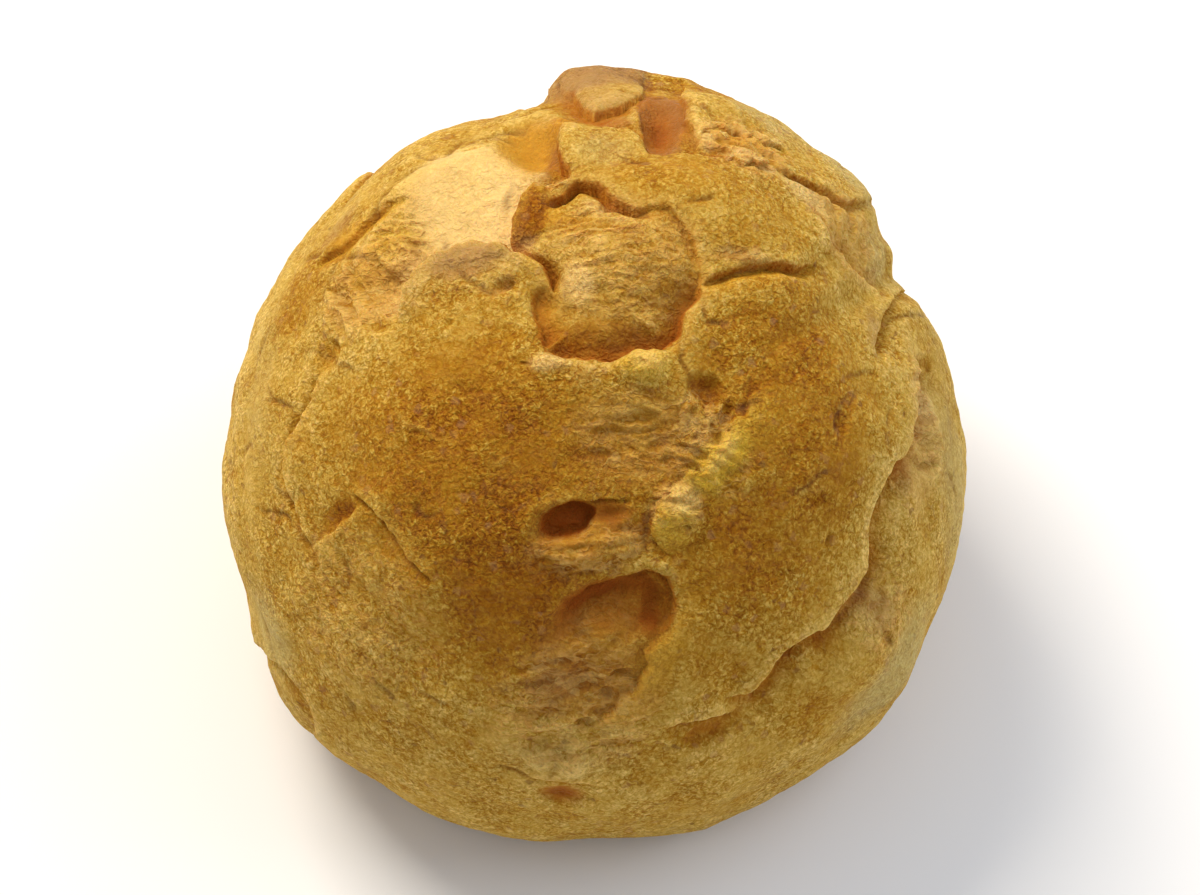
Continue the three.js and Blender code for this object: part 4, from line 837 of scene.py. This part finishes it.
# plate lumps, then the crust's pebbled skin, and crumbs along the tears
uneven = 1 - np.clip(marks["calm"], 0, 1)
crusty = uneven * (1 - crustRelief["skinLacks"] * np.clip(marks["membrane"], 0, 1))
lumps = (tall * noise(plain, size, shift) for shift, (size, tall) in enumerate(crustRelief["lumps"], 5))
height += uneven * sum(lumps)
pebbles = crusty * crustRelief["pebbles"] * (0.3 - np.abs(noise(plain, crustRelief["pebbleSize"], 8)))
torn = np.clip(marks["lip"] + crustRelief["tornWalls"] * marks["deep"], 0, 1)
crumbs, fineCrumbs = (noise(plain, size, shift) for shift, size in enumerate(crustRelief["crumbSizes"], 9))
crumbly, fineCrumbly = crustRelief["tornCrumbs"]
height += pebbles + (crustRelief["crumbs"] + crumbly * torn) * crumbs + fineCrumbly * torn * fineCrumbs
relief = rise - fall + height


def blurred(values, reach):
    # mean over about that many mm, worked out on a grid of cubes
    low = plain.min(axis=0) - 3 * reach
    size = np.ceil(np.ptp(plain, axis=0) / reach).astype(int) + 7
    at = (plain - low) / reach
    cell = np.floor(at).astype(int)
    share = at - cell
    corners = []
    for corner in product((0, 1), repeat=3):
        index = np.ravel_multi_index((cell + corner).T, size)
        corners.append((index, np.prod(np.where(corner, share, 1 - share), axis=1)))
    grids = []
    for amounts in (values, np.ones(len(values))):
        grid = sum(np.bincount(index, weight * amounts, size.prod()) for index, weight in corners).reshape(size)
        for axis in range(3):
            grid = 0.5 * grid + 0.25 * (np.roll(grid, 1, axis) + np.roll(grid, -1, axis))
        grids.append(grid.ravel())
    mean = grids[0] / np.maximum(grids[1], 1e-9)
    return sum(weight * mean[index] for index, weight in corners)


# above zero where the crust lies lower than it does that many mm round about; the crust is darkened there as
# painted shade
for name, reach in {"hollow": 2.2, "pore": 0.8}.items():
    marks[name] = blurred(relief, reach) - relief


def layered(size, shift):
    layers = ((1, 1), (2, 0.55), (4, 0.3))
    return sum(share * noise(plain, size / finer, shift + i) for i, (finer, share) in enumerate(layers))


# patterns of the browning: drift over the plates, blotches, how grainy the crust is, and its coarse grain
for i, (name, size) in enumerate({"drift": 13, "blotch": 3.4, "patch": 4.4, "coarse": 1.5}.items()):
    marks[name] = layered(size, 20 + 4 * i)

above = smooth(plain[:, 2] + puffForm["centreHeight"], puffForm["reliefStart"], puffForm["reliefFull"])
shaped = directions * (np.linalg.norm(plain, axis=1) + relief * above)[:, None]
shaped += push * above[:, None]
shaped[:, 2] += puffForm["centreHeight"]
shaped[:, 2] = np.maximum(shaped[:, 2], 0)

middle = (shaped.min(axis=0) + shaped.max(axis=0)) / 2
centre = Vector((-middle[0], -middle[1], puffForm["centreHeight"] - shaped[:, 2].min())) * mm
shaped -= (middle[0], middle[1], shaped[:, 2].min())
puff.data.vertices.foreach_set("co", (shaped * mm).ravel())
for name, values in marks.items():
    layer = puff.data.attributes.new(name, "FLOAT", "POINT")
    layer.data.foreach_set("value", values.astype(np.float32))
puff.data.update()
print("form sculpted, mm:", np.round(np.ptp(shaped, axis=0), 1))

thin = puff.modifiers.new("thin", "DECIMATE")
thin.ratio = min(1, puffForm["triangles"] / len(puff.data.polygons))
bpy.ops.object.modifier_apply(modifier=thin.name)
bpy.ops.object.shade_smooth()
print("thinned to", len(puff.data.polygons), "triangles")


def colour(hexCode):
    parts = [int(hexCode[i : i + 2], 16) / 255 for i in (1, 3, 5)]
    return [p / 12.92 if p <= 0.04045 else ((p + 0.055) / 1.055) ** 2.4 for p in parts] + [1]


def addNode(tree, kind, values=None, links=None, **settings):
    node = tree.nodes.new(kind)
    for name, value in settings.items():
        setattr(node, name, value)
    for name, value in (values or {}).items():
        node.inputs[name].default_value = value
    for name, output in (links or {}).items():
        tree.links.new(output, node.inputs[name])
    return node


def newMaterial(name):
    made = bpy.data.materials.new(name)
    made.use_nodes = True
    made.node_tree.nodes.clear()
    return made, made.node_tree


crustLook = {
    "bakes": [
        (0, "#d8b464"), (0.3, "#bc963e"), (0.5, "#a8781c"), (0.7, "#9a6210"), (0.85, "#8a4f0c"), (1, "#7a420c"),
    ],
    "startBake": 0.3,
    # how far each pattern shifts the bake either way
    "shifts": {
        "blotch": 0.08, "drift": 0.06, "coarse": 0.08, "blister": 0.1, "odd": 0.05, "grain": -0.2, "hollow": 0.1,
        "pore": 0.08,
    },
    # shares of the colours that are laid over it: tints of the crust, partly also painted light and shade (rim
    # light in the ash, highlight on the lips, shadow under the knob and in the pocket)
    "odd": 0.45,
    "dots": 0.5,
    "hairs": 0.4,
    "skin": 0.45,
    "creases": 0.4,
    "tintsAndPaintedLight": {"ash": 0.6, "blush": 0.6, "amber": 0.7, "lip": 0.35, "yolk": 0.75, "cream": 0.85},
    "speck": "#6e452a",
    "skinLow": "#8f5414",
    "skinHigh": "#c48d40",
    "strand": "#d6a556",
    "lip": "#c29c48",
    "blush": "#9e7549",
    "amber": "#c8922a",
    "yolk": "#d2a834",
    "cream": "#e4c07a",
    # ash: grey tone of the knob and the rims, at the rims partly painted rim light
    "ash": "#b8a264",
    # deep and deepest: orange-brown inner skin, darkened further as painted shade in gaps, hollows and troughs
    "deep": "#a4601a",
    "deepest": "#8a400c",
    "flake": "#dfbd70",
    "grainSize": 0.42,  # mm, the fine blisters of the crust
    "strandSize": 0.9,
    "shardSize": 0.8,
    "speckSize": 2.2,
    "hairSize": 3.2,
    "bendSize": 0.7,  # and how far the cells are bent
}


# Baked choux pastry: matt, grainy, browned unevenly, with smoother torn skin.
def bakedChoux():
    look = crustLook
    made, tree = newMaterial("bakedChouxCrust")

    def attribute(name):
        return addNode(tree, "ShaderNodeAttribute", attribute_name=name).outputs["Fac"]

    def maths(operation, first, second, clamp=False):
        node = addNode(tree, "ShaderNodeMath", operation=operation, use_clamp=clamp)
        for slot, value in zip(node.inputs, (first, second)):
            if isinstance(value, (int, float)):
                slot.default_value = value
            else:
                tree.links.new(value, slot)
        return node.outputs[0]

    def times(first, second, clamp=False):
        return maths("MULTIPLY", first, second, clamp)

    def summed(*parts):
        return reduce(lambda whole, part: maths("ADD", whole, part), parts)

    def blend(share, first, second, way="MIX"):
        node = addNode(tree, "ShaderNodeMix", data_type="RGBA", blend_type=way)
        for slot, value in ((node.inputs[0], share), (node.inputs[6], first), (node.inputs[7], second)):
            if isinstance(value, str):
                slot.default_value = colour(value)
            elif isinstance(value, (int, float)):
                slot.default_value = value
            else:
                tree.links.new(value, slot)
        return node.outputs[2]

    def spanned(value, low, high, to=(0, 1)):
        node = addNode(tree, "ShaderNodeMapRange", {1: low, 2: high, 3: to[0], 4: to[1]}, {0: value})
        return node.outputs[0]

    def shifted(name, value, low=-1, high=1):
        amount = look["shifts"][name]
        return spanned(value, low, high, (-amount, amount))

    def picked(hue, part):
        return addNode(tree, "ShaderNodeSeparateColor", None, {"Color": hue}).outputs[part]

    place = addNode(tree, "ShaderNodeTexCoord").outputs["Object"]
    inMm = addNode(tree, "ShaderNodeMapping", {"Scale": (1000, 1000, 1000)}, {"Vector": place}).outputs[0]
    bend = look["bendSize"]
    bent = addNode(tree, "ShaderNodeTexNoise", {"Scale": 1 / bend, "Detail": 0}, {"Vector": inMm})
    bent = addNode(tree, "ShaderNodeVectorMath", {1: [0.5] * 3}, {0: bent.outputs["Color"]}, operation="SUBTRACT")
    bent = addNode(tree, "ShaderNodeVectorMath", {1: [bend] * 3}, {0: bent.outputs[0], 2: inMm},
                   operation="MULTIPLY_ADD").outputs[0]

    def cells(size, feature="F1"):
        return addNode(tree, "ShaderNodeTexVoronoi", {"Scale": 1 / size}, {"Vector": bent}, feature=feature)

    blisters = cells(look["grainSize"])
    blisterGap = blisters.outputs["Distance"]
    blisterTone = picked(blisters.outputs["Color"], 0)
    coarse = cells(2.4 * look["grainSize"])
    coarseTone = picked(coarse.outputs["Color"], 1)
    specks = cells(look["speckSize"])
    cracks = cells(look["hairSize"], "DISTANCE_TO_EDGE")
    fineGrain = addNode(tree, "ShaderNodeTexNoise", {
        "Scale": 1 / look["grainSize"],
        "Detail": 1.5,
        "Roughness": 0.6,
        "Distortion": 0.9,
    }, {"Vector": inMm}).outputs["Fac"]
    midGrain = attribute("coarse")
    blotches = attribute("blotch")
    membrane = maths("MINIMUM", attribute("membrane"), 1)
    deep = attribute("deep")
    flaky = attribute("strand")
    grainy = maths("SUBTRACT", 1, times(membrane, 0.3))
    grainy = times(grainy, spanned(attribute("patch"), -0.8, 0.8, (0.5, 1.2)))
    grainy = times(grainy, spanned(attribute("calm"), 0, 1, (1, 0.5)))
    long = addNode(tree, "ShaderNodeMapping", {"Scale": (0.45, 1, 1)}, {"Vector": bent}).outputs[0]
    shards = addNode(tree, "ShaderNodeTexVoronoi", {"Scale": 1 / look["shardSize"]}, {"Vector": long})
    shardTone = picked(shards.outputs["Color"], 1)
    curl = addNode(tree, "ShaderNodeTexNoise", {"Scale": 1 / look["strandSize"], "Detail": 1, "Distortion": 0.4},
                   {"Vector": long}).outputs["Fac"]
    strand = spanned(maths("ABSOLUTE", maths("SUBTRACT", curl, 0.5), 0), 0.11, 0.02)
    strand = times(strand, spanned(midGrain, -0.6, 0.2))

    # how far each point is baked: broad places, blotches and grain; darker between the blisters, partly grain and
    # partly painted shade, and darker in hollows and pores as painted shade
    grains = summed(
        shifted("coarse", midGrain),
        shifted("blister", blisterTone, 0),
        shifted("odd", coarseTone, 0),
        shifted("grain", fineGrain, 0.3, 0.7),
        spanned(blisterGap, 0.1, 0.7, (-0.04, 0.1)),
    )
    bake = summed(
        attribute("browning"),
        look["startBake"],
        shifted("blotch", blotches),
        shifted("drift", attribute("drift")),
        times(grains, grainy),
        shifted("hollow", attribute("hollow"), -0.8, 0.8),
        shifted("pore", attribute("pore"), -0.15, 0.15),
    )
    ramp = addNode(tree, "ShaderNodeValToRGB", None, {"Fac": bake})
    bar = ramp.color_ramp
    for at, code in look["bakes"][1:-1]:
        bar.elements.new(at).color = colour(code)
    bar.elements[0].color = colour(look["bakes"][0][1])
    bar.elements[len(bar.elements) - 1].color = colour(look["bakes"][-1][1])
    tone = ramp.outputs["Color"]

    # odd grains are grey brown, small specks darker still, and hair cracks show here and there
    grey = times(spanned(coarseTone, 0.86, 0.94), spanned(coarse.outputs["Distance"], 0.55, 0.3))
    tone = blend(times(times(grey, look["odd"]), grainy), tone, look["blush"])
    chosen = spanned(picked(specks.outputs["Color"], 2), 0.62, 0.66)
    dot = times(chosen, spanned(specks.outputs["Distance"], 0.17, 0.1))
    tone = blend(times(dot, look["dots"]), tone, look["speck"])
    hair = times(times(spanned(cracks.outputs["Distance"], 0.035, 0.01), spanned(blotches, 0.3, 0.6)), grainy)
    tone = blend(times(hair, look["hairs"]), tone, look["speck"])

    skin = blend(spanned(attribute("fold"), -0.6, 0.6), look["skinLow"], look["skinHigh"])
    tone = blend(times(membrane, look["skin"]), tone, skin)
    pulled = times(strand, maths("ADD", times(flaky, 0.6), 0.08))
    tone = blend(pulled, tone, look["strand"])
    # tints laid over the crust, with painted light and shade in some of them: rim light, lip highlights, shadow
    # under the knob and in the pocket
    for name, share in look["tintsAndPaintedLight"].items():
        tintsAndPaintedLight = times(attribute(name), spanned(fineGrain, 0.3, 0.7, (0.65 * share, 1.2 * share)), True)
        tone = blend(tintsAndPaintedLight, tone, look[name])
    tone = blend(times(flaky, spanned(shardTone, 0.6, 0.9, (0, 0.24))), tone, look["flake"])
    tone = blend(times(flaky, spanned(shardTone, 0.35, 0.1, (0, 0.26))), tone, look["skinLow"])
    # painted shade: the cracks are darkened with the speck colour
    tone = blend(times(attribute("crease"), look["creases"]), tone, look["speck"])
    # painted shade over orange-brown inner skin: gaps, hollows and troughs take the deep and deepest colours
    tone = blend(spanned(deep, 0.15, 0.8, (0, 0.8)), tone, look["deep"])
    tone = blend(spanned(deep, 0.75, 1.1, (0, 0.8)), tone, look["deepest"])
    # lighter blister tops and darker gaps between them: partly grain, partly painted light and shade of the
    # blisters
    speckled = times(spanned(blisterGap, 0.1, 0.65, (1.07, 0.94)), spanned(fineGrain, 0.3, 0.7, (0.88, 1.14)))
    speckled = times(speckled, spanned(coarseTone, 0, 1, (0.94, 1.08)))
    tone = blend(times(spanned(deep, 0.2, 0.9, (1, 0.4)), grainy, True), tone, speckled, "MULTIPLY")

    bumps = maths("SUBTRACT", times(fineGrain, 1.1), times(blisterGap, 0.6))
    bumps = maths("ADD", times(bumps, grainy), pulled)
    bump = addNode(tree, "ShaderNodeBump", {"Strength": 0.7, "Distance": 0.0004}, {"Height": bumps})
    roughness = maths("SUBTRACT", spanned(midGrain, -0.8, 0.8, (0.6, 0.8)), times(membrane, 0.14))
    shader = addNode(tree, "ShaderNodeBsdfPrincipled", {
        "IOR": 1.42,
        "Specular IOR Level": 0.08,
        "Subsurface Weight": 0.35,
        "Subsurface Radius": (1.0, 0.42, 0.12),
        "Subsurface Scale": 0.0016,
    }, {"Base Color": tone, "Roughness": roughness, "Normal": bump.outputs[0]})
    addNode(tree, "ShaderNodeOutputMaterial", None, {"Surface": shader.outputs[0]})
    return made


puff.data.materials.append(bakedChoux())
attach(puff, "root")
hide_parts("puff")
print("crust coloured")

studio = {
    "floorTone": "#f4f4f4",
    "skyTone": "#f2f5fa",
    "skyStrength": 0.54,
    "boxes": {
        "keyBox": {"tone": "#fff4e2", "power": 3.7, "size": 0.3, "way": (-0.42, 0.46, 0.78)},
        "fillBox": {"tone": "#eef3ff", "power": 1.45, "size": 0.5, "way": (0.78, 0.16, 0.6)},
    },
    "boxDistance": 0.6,  # metres
    "lens": 120,
}


def whiteFloor():
    selectNothing()
    bpy.ops.mesh.primitive_plane_add(size=6, location=(0, 0, 0))
    floor = bpy.context.object
    floor.name = "floor"
    made, tree = newMaterial("mattWhiteBoard")
    tone = colour(studio["floorTone"])
    shader = addNode(tree, "ShaderNodeBsdfPrincipled", {"Base Color": tone, "Roughness": 0.9})
    addNode(tree, "ShaderNodeOutputMaterial", None, {"Surface": shader.outputs[0]})
    floor.data.materials.append(made)


def softBox(name, tone, power, size, way):
    selectNothing()
    way = Vector(way).normalized()
    bpy.ops.object.light_add(type="AREA", location=centre + way * studio["boxDistance"])
    box = bpy.context.object
    box.name = name
    box.data.color = colour(tone)[:3]
    box.data.energy = power
    box.data.size = size
    box.rotation_euler = way.to_track_quat("Z", "Y").to_euler()


def studioCamera():
    selectNothing()
    toward = Vector(show["toward"])
    bpy.ops.object.camera_add(location=centre + toward * puffForm["eye"] * mm)
    camera = bpy.context.object
    camera.rotation_euler = (math.radians(90 - puffForm["viewTilt"]), 0, 0)
    camera.data.lens = studio["lens"]
    camera.data.sensor_width = 36
    camera.data.clip_start = 0.01
    bpy.context.scene.camera = camera


whiteFloor()
for name, settings in studio["boxes"].items():
    softBox(name, **settings)
world = bpy.data.worlds.new("studio")
bpy.context.scene.world = world
world.use_nodes = True
sky = world.node_tree.nodes["Background"]
sky.inputs["Color"].default_value = colour(studio["skyTone"])
sky.inputs["Strength"].default_value = studio["skyStrength"]
studioCamera()
bpy.context.scene.view_settings.view_transform = "Standard"

print("boxes written")
